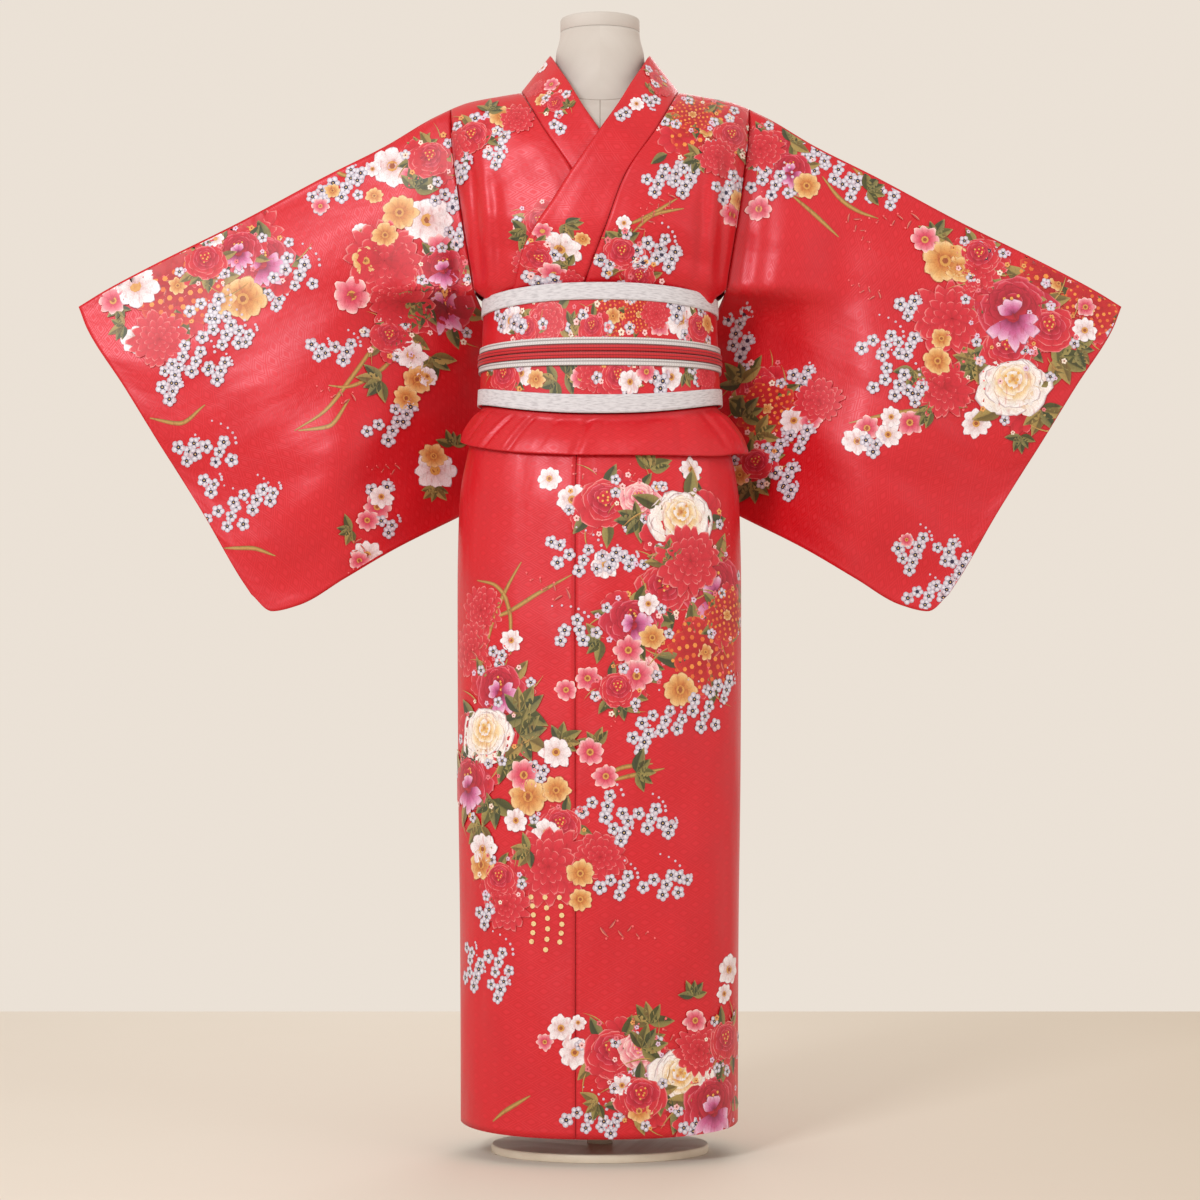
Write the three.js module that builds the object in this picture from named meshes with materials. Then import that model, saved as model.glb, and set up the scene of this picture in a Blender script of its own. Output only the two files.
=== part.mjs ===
// A woman's kimono with its sash, dressed on a limbless dress form that stands on a pole and a base plate.
// Millimetres. +Z is up, the wearer faces -Y, +X is the wearer's left. The origin is on the floor
// under the middle of the form. "Left" and "right" in the names are the wearer's own.
import * as THREE from 'three';

// ---- Driving dimensions --------------------------------------------------------------------------
const CLOTH = 2.0; // wall of the body and skirt cloth
const SLEEVE_CLOTH = 1.8;
const COLLAR_CLOTH = 2.6; // the collar is a doubled band
const SEAM = 0.3; // clear gap between pieces that meet at a seam
const COLLAR_GAP = 1.6; // the collar's seam runs in a curve, so it keeps more
const LAYER = 6; // how far the wearer's left front lies over the right one

const SHOULDER_LOW = 1200; // the shoulders round over above this height
const SHOULDER_TOP = 1302; // ridge height at the armhole seam
const ARMHOLE_HALF = 28; // half the armhole's width, front to back
const BODY_ROUND = 2.3; // exponent of the body's cross-section

const HEM_HEIGHT = 42;
const HEM_SAG = 9; // the front hem hangs this much lower than the sides
const SKIRT_TOP = 926; // the skirt starts here, inside the sash
const SKIRT_ROUND = 2.35;

const SEAT_GAP = 0.5; // between the form's shoulder ridge and the cloth on it
const FORM_CLEAR = 7; // from the garment's outer face in to the form, everywhere else

// ---- Tables --------------------------------------------------------------------------------------
// The garment's outer face above the sash. seam is the armhole seam's distance from the middle.
const BODICE = [
  { z: 1020, seam: 127, front: 80, back: 84 },
  { z: 1060, seam: 131, front: 84, back: 87 },
  { z: 1071, seam: 157, front: 95, back: 91 },
  { z: 1090, seam: 160, front: 104, back: 93 },
  { z: 1150, seam: 170, front: 117, back: 97 },
  { z: 1200, seam: 177, front: 112, back: 97 },
  { z: 1256, seam: 184, front: 112, back: 97 },
  { z: 1302, seam: 187, front: 112, back: 97 },
  { z: 1340, seam: 188, front: 112, back: 97 },
];

// Height of the shoulder ridge, out from the middle.
const RIDGE = [
  { x: 0, z: 1325 },
  { x: 60, z: 1325 },
  { x: 99, z: 1321 },
  { x: 125, z: 1317 },
  { x: 164, z: 1310 },
  { x: 188, z: 1302 },
];

// Seam between the left front and its collar, and the collar's free edge.
const COLLAR_SEAM = [
  { z: 1015, x: -38 },
  { z: 1045, x: -27 },
  { z: 1085, x: -13 },
  { z: 1136, x: 7 },
  { z: 1196, x: 29 },
  { z: 1259, x: 69 },
  { z: 1291, x: 86 },
  { z: 1321, x: 99 },
];
const COLLAR_EDGE = [
  { z: 1015, x: -118 },
  { z: 1070, x: -105 },
  { z: 1115, x: -92 },
  { z: 1164, x: -61 },
  { z: 1199, x: -39 },
  { z: 1257, x: 0 },
  { z: 1296, x: 25 },
  { z: 1370, x: 63 },
];

// The collar round the neck, from the middle of the back to the chest: seam line and free edge.
const NECK_BAND = [
  { seamX: 0, seamY: 71, seamZ: 1312, edgeX: 0, edgeY: 86, edgeZ: 1352 },
  { seamX: 34, seamY: 68, seamZ: 1313, edgeX: 24, edgeY: 82, edgeZ: 1354 },
  { seamX: 66, seamY: 54, seamZ: 1318, edgeX: 45, edgeY: 66, edgeZ: 1360 },
  { seamX: 88, seamY: 33, seamZ: 1322, edgeX: 58, edgeY: 38, edgeZ: 1366 },
  { seamX: 99, seamY: 4, seamZ: 1325, edgeX: 63, edgeY: 2, edgeZ: 1370 },
  { seamX: 95, seamY: -38, seamZ: 1312, edgeX: 53, edgeY: -38, edgeZ: 1349 },
  { seamX: 85.5, seamY: -71, seamZ: 1291, edgeX: 38, edgeY: -66, edgeZ: 1322 },
  { seamX: 68.5, seamY: -95, seamZ: 1259, edgeX: 21, edgeY: -88, edgeZ: 1290 },
  { seamX: 49, seamY: -106, seamZ: 1228, edgeX: 0, edgeY: -103, edgeZ: 1257 },
];
// From there down both lines lie on the chest, paired by height.
const CHEST_BAND = [
  { seamZ: 1196, edgeZ: 1224 },
  { seamZ: 1166, edgeZ: 1194 },
  { seamZ: 1136, edgeZ: 1166 },
  { seamZ: 1110, edgeZ: 1140 },
  { seamZ: 1085, edgeZ: 1113 },
  { seamZ: 1072, edgeZ: 1098 },
  { seamZ: 1064, edgeZ: 1084 },
  { seamZ: 1060, edgeZ: 1072 },
  { seamZ: 1054, edgeZ: 1064 },
  { seamZ: 1040, edgeZ: 1048 },
];

// Sleeve outline, seen from the front, for the wearer's left: the top fold, the wrist edge,
// the bottom edge and the edge on the body's side, which is free below the armhole.
const SLEEVE_TOP = [
  { x: 187.5, z: 1302 },
  { x: 214, z: 1289 },
  { x: 269, z: 1256 },
  { x: 346, z: 1217 },
  { x: 450, z: 1161 },
  { x: 564, z: 1104 },
  { x: 620, z: 1074 },
  { x: 654, z: 1053 },
];
const SLEEVE_WRIST = [
  { x: 654, z: 1053 },
  { x: 643, z: 1026 },
  { x: 594, z: 951 },
  { x: 541, z: 864 },
  { x: 496, z: 792 },
  { x: 452, z: 716 },
  { x: 436, z: 692 },
];
const SLEEVE_FOOT = [
  { x: 58, z: 866 },
  { x: 172, z: 799 },
  { x: 256, z: 752 },
  { x: 320, z: 712 },
  { x: 376, z: 679 },
  { x: 410, z: 671 },
  { x: 436, z: 692 },
];
const SLEEVE_INNER = [
  { x: 187.5, z: 1302 },
  { x: 184.6, z: 1256 },
  { x: 177.6, z: 1200 },
  { x: 170.6, z: 1150 },
  { x: 162.8, z: 1092 },
  { x: 157, z: 1071 },
  { x: 134, z: 1026 },
  { x: 104, z: 962 },
  { x: 74, z: 902 },
  { x: 58, z: 866 },
];
const UNDERARM = 1071; // the sleeve is sewn on down to this height
const SLEEVE_BEHIND = 136; // how far back the free lower corner lies, behind the sash
const SLEEVE_SWING_FROM = 340; // the sleeve starts to swing back at this distance from the middle
const CUFF_SHARE = 0.56; // share of the wrist edge that is open

// Upright folds in a sleeve near the armhole, as a row each: place along and down it, size, depth.
const SLEEVE_FOLDS = [
  { along: 0.05, down: 0.42, wide: 0.035, tall: 0.22, deep: 5 },
  { along: 0.13, down: 0.5, wide: 0.05, tall: 0.3, deep: -5 },
  { along: 0.3, down: 0.45, wide: 0.12, tall: 0.3, deep: 7 },
  { along: 0.62, down: 0.6, wide: 0.14, tall: 0.35, deep: -6 },
];

// The skirt's outer face.
const SKIRT = [
  { z: 30, side: 171, front: 119, back: 112 },
  { z: 250, side: 172, front: 118, back: 113 },
  { z: 480, side: 175, front: 119, back: 116 },
  { z: 700, side: 176, front: 121, back: 121 },
  { z: 800, side: 174, front: 120, back: 123 },
  { z: 870, side: 163, front: 108, back: 114 },
  { z: 905, side: 151, front: 93, back: 99 },
  { z: 930, side: 140, front: 88, back: 90 },
];

// The waist tuck round the body, from the right side by the front to the left side and the back:
// how far it stands out from the skirt and where its lower fold is.
const TUCK = [
  { angle: -104, out: 9, low: 884 },
  { angle: -90, out: 12, low: 882 },
  { angle: -62, out: 8, low: 872 },
  { angle: -25, out: 7, low: 860 },
  { angle: 0, out: 7, low: 857 },
  { angle: 45, out: 8, low: 858 },
  { angle: 72, out: 13, low: 864 },
  { angle: 92, out: 20, low: 867 },
];
const TUCK_BACK = [
  { angle: 94, out: 9, low: 876 },
  { angle: 130, out: 7, low: 872 },
  { angle: 180, out: 7, low: 870 },
  { angle: 230, out: 7, low: 872 },
  { angle: 254, out: 8, low: 880 },
];

// The sash: half sizes of its outer face, and the bands from the widest one out. A rise is added in
// front. What lies on the sash stands out from it by its own thickness and a seam's gap.
const SASH = { side: 148, front: 106.5, back: 103, spread: 3.5 };
const BANDS = [
  { name: 'sash', top: 1057.5, topRise: 11, foot: 928, footRise: -17.5, out: 0, thick: 3.2 },
  { name: 'sash_edge_upper', top: 1058, topRise: 11, foot: 1038, footRise: 10, out: 2.5, thick: 2.2 },
  { name: 'cord_edge_upper', top: 998, topRise: 4, foot: 990.8, footRise: 3, out: 2.7, thick: 2.4 },
  { name: 'cord_rib_upper', top: 990.4, topRise: 3, foot: 983, footRise: 2, out: 4.5, thick: 4.2 },
  { name: 'cord_rib_lower', top: 982.6, topRise: 2, foot: 975.2, footRise: 1, out: 4.5, thick: 4.2 },
  { name: 'cord_edge_lower', top: 974.8, topRise: 1, foot: 967.5, footRise: 0, out: 2.7, thick: 2.4 },
  { name: 'sash_edge_lower', top: 947, topRise: -15, foot: 927.5, footRise: -18, out: 2.5, thick: 2.2 },
];
const SASH_FOOT = BANDS[0];
const SASH_COLUMNS = 40;
const TUCK_CLOTH = 2.4;

// The form below the chest: half sizes of its own sections.
const FORM = [
  { z: 640, side: 138, front: 94, back: 96 },
  { z: 700, side: 158, front: 106, back: 110 },
  { z: 800, side: 160, front: 108, back: 112 },
  { z: 870, side: 150, front: 98, back: 104 },
  { z: 930, side: 130, front: 80, back: 84 },
  { z: 975, side: 124, front: 76, back: 80 },
  { z: 1030, side: 114, front: 70, back: 74 },
];
// The neck, from the chest up to its flat cap.
const NECK = [
  { z: 1332, side: 59, deep: 54 },
  { z: 1348, side: 57, deep: 52 },
  { z: 1372, side: 55.5, deep: 51 },
  { z: 1394, side: 50.5, deep: 47 },
  { z: 1400, side: 50, deep: 46.5 },
];
const NECK_BASE = { side: 66, deep: 58 };
const CAP = { side: 50, deep: 46.5, low: 1400.3, top: 1418, lip: 3 };
const NECK_BACK = 8; // the neck's middle lies this far behind the body's
const POLE = { radius: 16, top: 639.7 };
const BASE = { side: 135, deep: 95, thick: 10, lip: 2 };

// ---- Helpers -------------------------------------------------------------------------------------
const clamp = (v, lo = 0, hi = 1) => Math.min(hi, Math.max(lo, v));
const smooth = (lo, hi, v) => {
  const t = clamp((v - lo) / (hi - lo));
  return t * t * (3 - 2 * t);
};
const mix = (a, b, t) => a + (b - a) * t;
const steps = (count) => Array.from({ length: count + 1 }, (_, i) => i / count);
const radians = THREE.MathUtils.degToRad;
const point = (x, y, z) => new THREE.Vector3(x, y, z);

// A smooth curve through a table's rows that never overshoots them.
function read(rows, key, name, at) {
  const last = rows.length - 1;
  if (at <= rows[0][key]) return rows[0][name];
  if (at >= rows[last][key]) return rows[last][name];
  const i = rows.findIndex((row) => row[key] > at) - 1;
  const slope = (k) => (rows[k + 1][name] - rows[k][name]) / (rows[k + 1][key] - rows[k][key]);
  const tangent = (k) => {
    if (k === 0) return slope(0);
    if (k === last) return slope(last - 1);
    const before = slope(k - 1);
    const after = slope(k);
    return before * after <= 0 ? 0 : (2 * before * after) / (before + after);
  };
  const span = rows[i + 1][key] - rows[i][key];
  const t = (at - rows[i][key]) / span;
  const square = t * t;
  const cube = square * t;
  return (
    (2 * cube - 3 * square + 1) * rows[i][name] +
    (cube - 2 * square + t) * span * tangent(i) +
    (3 * square - 2 * cube) * rows[i + 1][name] +
    (cube - square) * span * tangent(i + 1)
  );
}

// A point at a share of a polyline's length.
function along(rows, share) {
  const lengths = [0];
  for (let i = 1; i < rows.length; i += 1) {
    lengths.push(lengths[i - 1] + Math.hypot(rows[i].x - rows[i - 1].x, rows[i].z - rows[i - 1].z));
  }
  const table = rows.map((row, i) => ({ at: lengths[i], x: row.x, z: row.z }));
  const at = clamp(share) * lengths[rows.length - 1];
  return { x: read(table, 'at', 'x', at), z: read(table, 'at', 'z', at) };
}

// Grids are rows of points. The offset moves each point along the surface's own normal.
function offsetGrid(grid, distance, closed = false) {
  const rows = grid.length;
  const columns = grid[0].length;
  const column = (j) => (closed ? (j + columns) % columns : clamp(j, 0, columns - 1));
  return grid.map((line, i) =>
    line.map((place, j) => {
      const up = grid[Math.min(i + 1, rows - 1)][j].clone().sub(grid[Math.max(i - 1, 0)][j]);
      const across = line[column(j + 1)].clone().sub(line[column(j - 1)]);
      const normal = across.cross(up).normalize();
      return place.clone().addScaledVector(normal, distance);
    }),
  );
}

// A closed solid between two grids of the same size. A closed grid joins its last column to its first.
function wall(outer, inner, closed = false) {
  const rows = outer.length;
  const columns = outer[0].length;
  const positions = [];
  [outer, inner].forEach((grid) => grid.flat().forEach((p) => positions.push(p.x, p.y, p.z)));
  const at = (side, i, j) => side * rows * columns + i * columns + ((j + columns) % columns);
  const faces = [];
  const quad = (a, b, c, d) => faces.push(a, b, c, a, c, d);
  const lastColumn = closed ? columns : columns - 1;
  for (let j = 0; j < lastColumn; j += 1) {
    for (let i = 0; i < rows - 1; i += 1) {
      quad(at(0, i, j), at(0, i, j + 1), at(0, i + 1, j + 1), at(0, i + 1, j));
      quad(at(1, i, j), at(1, i + 1, j), at(1, i + 1, j + 1), at(1, i, j + 1));
    }
    quad(at(0, 0, j), at(1, 0, j), at(1, 0, j + 1), at(0, 0, j + 1));
    quad(at(0, rows - 1, j), at(0, rows - 1, j + 1), at(1, rows - 1, j + 1), at(1, rows - 1, j));
  }
  for (let i = 0; i < rows - 1 && !closed; i += 1) {
    quad(at(0, i, 0), at(0, i + 1, 0), at(1, i + 1, 0), at(1, i, 0));
    quad(at(0, i, columns - 1), at(1, i, columns - 1), at(1, i + 1, columns - 1), at(0, i + 1, columns - 1));
  }
  return solid(positions, faces);
}

// A closed solid through rings of points, with a flat fan on its first and last ring.
function loft(rings) {
  const columns = rings[0].length;
  const positions = rings.flat().flatMap((p) => [p.x, p.y, p.z]);
  const middles = [rings[0], rings[rings.length - 1]].map((ring) => {
    const middle = ring.reduce((sum, p) => sum.add(p), point(0, 0, 0)).divideScalar(columns);
    positions.push(middle.x, middle.y, middle.z);
    return positions.length / 3 - 1;
  });
  const faces = [];
  const last = (rings.length - 1) * columns;
  for (let j = 0; j < columns; j += 1) {
    const next = (j + 1) % columns;
    for (let i = 0; i < rings.length - 1; i += 1) {
      const low = i * columns;
      faces.push(low + j, low + next, low + columns + next, low + j, low + columns + next, low + columns + j);
    }
    faces.push(middles[0], next, j, middles[1], last + j, last + next);
  }
  return solid(positions, faces);
}

// Turns the faces outward if they point in.
function solid(positions, faces) {
  const corner = (k) => point(...positions.slice(3 * k, 3 * k + 3));
  let volume = 0;
  for (let k = 0; k < faces.length; k += 3) {
    volume += corner(faces[k]).dot(corner(faces[k + 1]).cross(corner(faces[k + 2])));
  }
  const index = volume > 0 ? faces : faces.slice().reverse();
  const geometry = new THREE.BufferGeometry();
  geometry.setAttribute('position', new THREE.Float32BufferAttribute(positions, 3));
  geometry.setIndex(index);
  geometry.computeVertexNormals();
  return geometry;
}

// ---- Materials -----------------------------------------------------------------------------------
const material = (color, roughness) => new THREE.MeshStandardMaterial({ color, roughness, metalness: 0 });
const RED_SATIN = material(0xc8202e, 0.45);
const SASH_CLOTH = material(0xb81f2c, 0.6);
const WHITE_TRIM = material(0xe4dfdd, 0.8);
const RED_BRAID = material(0xa81a22, 0.7);
const FORM_COVER = material(0xe6ded2, 0.75);
const STAND_PAINT = material(0xe9e2d6, 0.4);

const kimono = new THREE.Group();
function add(name, geometry, finish) {
  const mesh = new THREE.Mesh(geometry, finish);
  mesh.name = name;
  kimono.add(mesh);
}

// ---- The garment's surface above the sash --------------------------------------------------------
const ridgeHeight = (x) => read(RIDGE, 'x', 'z', Math.abs(x));

// Depth of the section at a height, in front (negative y) or behind, at a distance from the middle.
function sectionDepth(x, z, side) {
  const full = read(BODICE, 'z', side, z);
  const share = clamp(Math.abs(x) / read(BODICE, 'z', 'seam', z));
  return ARMHOLE_HALF + (full - ARMHOLE_HALF) * (1 - share ** BODY_ROUND) ** (1 / BODY_ROUND);
}

// The shoulders round over: the front as an ellipse, the back fuller.
function chest(x, z) {
  const up = clamp((z - SHOULDER_LOW) / (ridgeHeight(x) - SHOULDER_LOW));
  return -sectionDepth(x, z, 'front') * Math.sqrt(1 - up * up);
}

// The wearer's left front lies over the right one, as far as the right collar reaches under it.
function overlap(x, z) {
  const beneath = -read(COLLAR_EDGE, 'z', 'x', z);
  return LAYER * (1 - smooth(14, 68, x - beneath));
}

// One body panel, front and back in one piece over the shoulder. side is 1 for the wearer's left.
function bodyPanel(side) {
  const grid = [];
  const frontRows = [1036, 1048, 1060, 1066, 1072, 1084, 1102, 1126, 1152, 1178, 1200];
  const arcs = [78, 64, 50, 36, 22, 10, 0];
  const lift = (x, z) => (side > 0 ? overlap(x, z) : 0);
  const columns = steps(9);
  frontRows.forEach((z) => {
    const inner = read(COLLAR_SEAM, 'z', 'x', z) + SEAM;
    const outer = read(BODICE, 'z', 'seam', z);
    grid.push(columns.map((c) => {
      const x = mix(inner, outer, 1 - (1 - c) ** 1.25);
      return point(x, chest(x, z) - lift(x, z), z);
    }));
  });
  arcs.forEach((degrees) => {
    const up = Math.cos(radians(degrees));
    const level = SHOULDER_LOW + (SHOULDER_TOP - SHOULDER_LOW) * up;
    const inner = read(COLLAR_SEAM, 'z', 'x', SHOULDER_LOW + (1322 - SHOULDER_LOW) * up) + SEAM;
    const outer = read(BODICE, 'z', 'seam', level);
    grid.push(columns.map((c) => {
      const x = mix(inner, outer, 1 - (1 - c) ** 1.25);
      const z = SHOULDER_LOW + (ridgeHeight(x) - SHOULDER_LOW) * up;
      const y = -sectionDepth(x, level, 'front') * Math.sin(radians(degrees));
      return point(x, y - lift(x, z) * Math.sin(radians(degrees)), z);
    }));
  });
  const nape = [12, 24, 37, 50, 64, 78, 90];
  nape.forEach((degrees) => {
    const rise = Math.cos(radians(degrees)) ** (2 / 3);
    const level = SHOULDER_LOW + (SHOULDER_TOP - SHOULDER_LOW) * rise;
    const inner = SEAM / 2 + (99 - SEAM / 2) * Math.sqrt(clamp(1 - (degrees / 37) ** 2));
    const outer = read(BODICE, 'z', 'seam', level);
    grid.push(columns.map((c) => {
      const x = mix(inner, outer, 1 - (1 - c) ** 1.25);
      const z = SHOULDER_LOW + (ridgeHeight(x) - SHOULDER_LOW) * rise;
      return point(x, sectionDepth(x, level, 'back') * Math.sin(radians(degrees)) ** (2 / 3), z);
    }));
  });
  [1178, 1152, 1126, 1102, 1084, 1072, 1066, 1060, 1036].forEach((z) => {
    const outer = read(BODICE, 'z', 'seam', z);
    grid.push(columns.map((c) => {
      const x = mix(SEAM / 2, outer, 1 - (1 - c) ** 1.25);
      return point(x, sectionDepth(x, z, 'back'), z);
    }));
  });
  return wallOfSide(grid, CLOTH, side);
}

// A wall from a grid drawn for the wearer's left, mirrored for the right. The cloth lies inside it.
function wallOfSide(grid, thickness, side) {
  const inner = offsetGrid(grid, -thickness);
  const place = (p) => point(side * p.x, p.y, p.z);
  return wall(grid.map((line) => line.map(place)), inner.map((line) => line.map(place)));
}

function collar(side) {
  const lift = (x, z) => (side > 0 ? overlap(x, z) : 0);
  const across = steps(4);
  const grid = NECK_BAND.map((row) =>
    across.map((c) => {
      const x = mix(row.edgeX, row.seamX - COLLAR_GAP, c) + (row.seamX === 0 ? COLLAR_GAP + SEAM : 0);
      const z = mix(row.edgeZ, row.seamZ, c);
      const raised = row.seamY < 0 ? lift(x, z) : 0;
      return point(x, mix(row.edgeY, row.seamY, c) - raised, z);
    }),
  );
  CHEST_BAND.forEach((row) => {
    grid.push(across.map((c) => {
      const edgeX = read(COLLAR_EDGE, 'z', 'x', row.edgeZ);
      const x = mix(edgeX, read(COLLAR_SEAM, 'z', 'x', row.seamZ) - COLLAR_GAP, c);
      const z = mix(row.edgeZ, row.seamZ, c);
      return point(x, chest(x, z) - lift(x, z), z);
    }));
  });
  return wallOfSide(grid.reverse(), COLLAR_CLOTH, side);
}

// ---- Sleeves -------------------------------------------------------------------------------------
// A sleeve's point seen from the front, from its four edges.
function sleevePlace(s, t) {
  const top = along(SLEEVE_TOP, s);
  const foot = along(SLEEVE_FOOT, s);
  const inner = along(SLEEVE_INNER, t);
  if (inner.z > UNDERARM) inner.x = read(BODICE, 'z', 'seam', inner.z) + SEAM;
  const wrist = along(SLEEVE_WRIST, t);
  const blend = (name) => {
    const corners = (1 - s) * ((1 - t) * SLEEVE_INNER[0][name] + t * SLEEVE_FOOT[0][name])
      + s * ((1 - t) * SLEEVE_WRIST[0][name] + t * SLEEVE_WRIST[SLEEVE_WRIST.length - 1][name]);
    return (1 - t) * top[name] + t * foot[name] + (1 - s) * inner[name] + s * wrist[name] - corners;
  };
  return { x: blend('x'), z: blend('z') };
}

// The sleeve hangs beside the body at the armhole and lies behind the sash below it.
function sleeveBack(x, z, half) {
  const below = clamp((UNDERARM - z) / 205);
  const near = smooth(-SLEEVE_SWING_FROM, -58, -x);
  const clearOfSash = half * smooth(-330, -150, -x) * smooth(0, 0.12, below);
  return SLEEVE_BEHIND * near * (1 - (1 - below) ** 5) + clearOfSash;
}

function sleeveFolds(s, t) {
  return SLEEVE_FOLDS.reduce((sum, fold) => {
    const far = ((s - fold.along) / fold.wide) ** 2 + ((t - fold.down) / fold.tall) ** 2;
    return sum + fold.deep * Math.exp(-far);
  }, 0);
}

// Half the sleeve's fullness: an open armhole, a fuller middle and an open cuff above a sewn edge.
function sleeveHalf(s, t, z) {
  const least = SLEEVE_CLOTH + 0.5;
  const round = Math.sqrt(clamp(1 - (1 - 2 * clamp(t, 0, 1)) ** 4));
  const armhole = z > SHOULDER_LOW
    ? ARMHOLE_HALF * Math.sqrt(clamp(1 - ((z - SHOULDER_LOW) / (SHOULDER_TOP - SHOULDER_LOW)) ** 2))
    : mix(14, ARMHOLE_HALF, smooth(UNDERARM - 150, UNDERARM, z));
  const middle = 24 * round;
  const cuff = 17 * Math.sin(Math.PI * clamp(t / CUFF_SHARE)) ** 0.7;
  const inward = mix(armhole, middle, smooth(0, 0.35, s));
  return Math.max(least, mix(inward, cuff, smooth(0.55, 1, s) ** 1.5) * mix(1, round, smooth(0, 0.1, s)));
}

// One layer of a sleeve. face is -1 for the front and 1 for the back; they meet at the top fold
// and at the bottom edge.
function sleeveLayer(side, face) {
  const lengthwise = [0, 0.03, 0.07, 0.12, 0.18, 0.26, 0.36, 0.47, 0.59, 0.71, 0.83, 0.93, 1];
  const downward = [0, 0.02, 0.07, 0.14, 0.22, 0.31, 0.41, 0.5, 0.6, 0.71, 0.82, 0.91, 0.97, 1];
  const level = (inset) => lengthwise.map((s) =>
    downward.map((t) => {
      const { x, z } = sleevePlace(s, t);
      const edge = t === 0 || t === 1;
      const half = edge ? SEAM / 2 + SLEEVE_CLOTH - inset : sleeveHalf(s, t, z) - inset;
      const middle = sleeveBack(x, z, half + inset) + sleeveFolds(s, t) * Math.sin(Math.PI * t);
      return point(side * x, middle + face * half, z);
    }),
  );
  return wall(level(0), level(SLEEVE_CLOTH));
}

// ---- Skirt, tuck and sash ------------------------------------------------------------------------
// A point on a rounded section. The angle is 0 in front and 90 at the wearer's left side.
function sectionPoint(rows, round, degrees, z, out) {
  const turn = radians(degrees);
  const bulge = (v) => Math.sign(v) * Math.abs(v) ** (2 / round);
  const forward = Math.cos(turn) > 0;
  const side = read(rows, 'z', 'side', z) + out;
  const deep = read(rows, 'z', forward ? 'front' : 'back', z) + out;
  return point(side * bulge(Math.sin(turn)), -deep * bulge(Math.cos(turn)), z);
}

function hemHeight(degrees) {
  return HEM_HEIGHT - HEM_SAG * Math.max(0, Math.cos(radians(degrees)));
}

// How far the top front lies over the under front: full over it, none at the left side seam.
const frontLift = (degrees) => (CLOTH + 0.6) * (1 - smooth(62, 92, degrees));

// Long shallow folds of the skirt: place round the body, width, depth, and the heights they span.
const SKIRT_FOLDS = [
  { angle: -58, wide: 9, deep: -1.6, low: 420, high: 900 },
  { angle: 38, wide: 12, deep: -1.8, low: 300, high: 880 },
  { angle: 68, wide: 9, deep: 2.2, low: 120, high: 820 },
  { angle: 150, wide: 11, deep: -2.4, low: 200, high: 880 },
  { angle: 210, wide: 11, deep: -2.2, low: 260, high: 880 },
  { angle: 245, wide: 8, deep: 1.8, low: 150, high: 800 },
];
function skirtFolds(degrees, z) {
  return SKIRT_FOLDS.reduce((sum, fold) => {
    const around = Math.exp(-(((degrees - fold.angle) / fold.wide) ** 2));
    const height = smooth(fold.low, fold.low + 160, z) * (1 - smooth(fold.high - 120, fold.high, z));
    return sum + fold.deep * around * height;
  }, 0);
}

function skirtPanel(from, to, columns, lift) {
  const grid = steps(10).map((h) =>
    steps(columns).map((c) => {
      const degrees = mix(from, to, c);
      const z = mix(hemHeight(degrees), SKIRT_TOP, h ** 0.85);
      return sectionPoint(SKIRT, SKIRT_ROUND, degrees, z, lift(degrees) + skirtFolds(degrees, z));
    }),
  );
  return wall(grid, offsetGrid(grid, -CLOTH));
}

const PANEL_SEAM = SEAM / 3; // half of a seam's gap at the skirt's size, in degrees

// The tuck is one fold: out from under the sash, down, round at the bottom and up again inside.
const TUCK_PROFILE = [
  { out: 0.7, up: 0 },
  { out: 1, up: 0.08 },
  { out: 1, up: 0.35 },
  { out: 0.65, up: 0.72 },
];
const UNDER_SASH = [
  { above: -2, inside: 0.6 },
  { above: 13, inside: 1.6 },
];
function tuck(rows, columns) {
  const from = rows[0].angle;
  const to = rows[rows.length - 1].angle;
  const foot = (degrees) => sashHeight(SASH_FOOT, degrees);
  const around = steps(columns).map((c) => mix(from, to, c));
  const grid = (inset) => [
    ...TUCK_PROFILE.map((stage) => around.map((degrees) => {
      const z = mix(read(rows, 'angle', 'low', degrees), foot(degrees), stage.up);
      const out = 3.6 + read(rows, 'angle', 'out', degrees) * stage.out;
      return sectionPoint(SKIRT, SKIRT_ROUND, degrees, z, out - inset);
    })),
    ...UNDER_SASH.map((stage) => around.map((degrees) => {
      const inside = SASH_FOOT.out - SASH_FOOT.thick - stage.inside;
      return sashPoint(degrees, foot(degrees) + stage.above, inside - inset);
    })),
  ];
  return wall(grid(0), grid(TUCK_CLOTH));
}

// The height of a band's edge: the sash dips and rises in front.
function sashHeight(band, degrees, edge = 'foot') {
  return band[edge] + band[`${edge}Rise`] * Math.max(0, Math.cos(radians(degrees))) ** 2;
}

function sashPoint(degrees, z, out) {
  const sash = { ...SASH, z, side: SASH.side + SASH.spread * ((1000 - z) / 80) };
  return sectionPoint([sash, { ...sash, z: z + 1 }], SKIRT_ROUND, degrees, z, out);
}

// One band of the sash: a ring round the body.
function sashBand(band) {
  const ring = (edge, out) => Array.from({ length: SASH_COLUMNS }, (_, k) => {
    const degrees = (360 * k) / SASH_COLUMNS;
    return sashPoint(degrees, sashHeight(band, degrees, edge), out);
  });
  const grid = (out) => [ring('foot', out), ring('top', out)];
  return wall(grid(band.out), grid(band.out - band.thick), true);
}

// ---- Dress form ----------------------------------------------------------------------------------
const FORM_COLUMNS = 28;
const formAngles = Array.from({ length: FORM_COLUMNS }, (_, k) => (360 * k) / FORM_COLUMNS);

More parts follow.
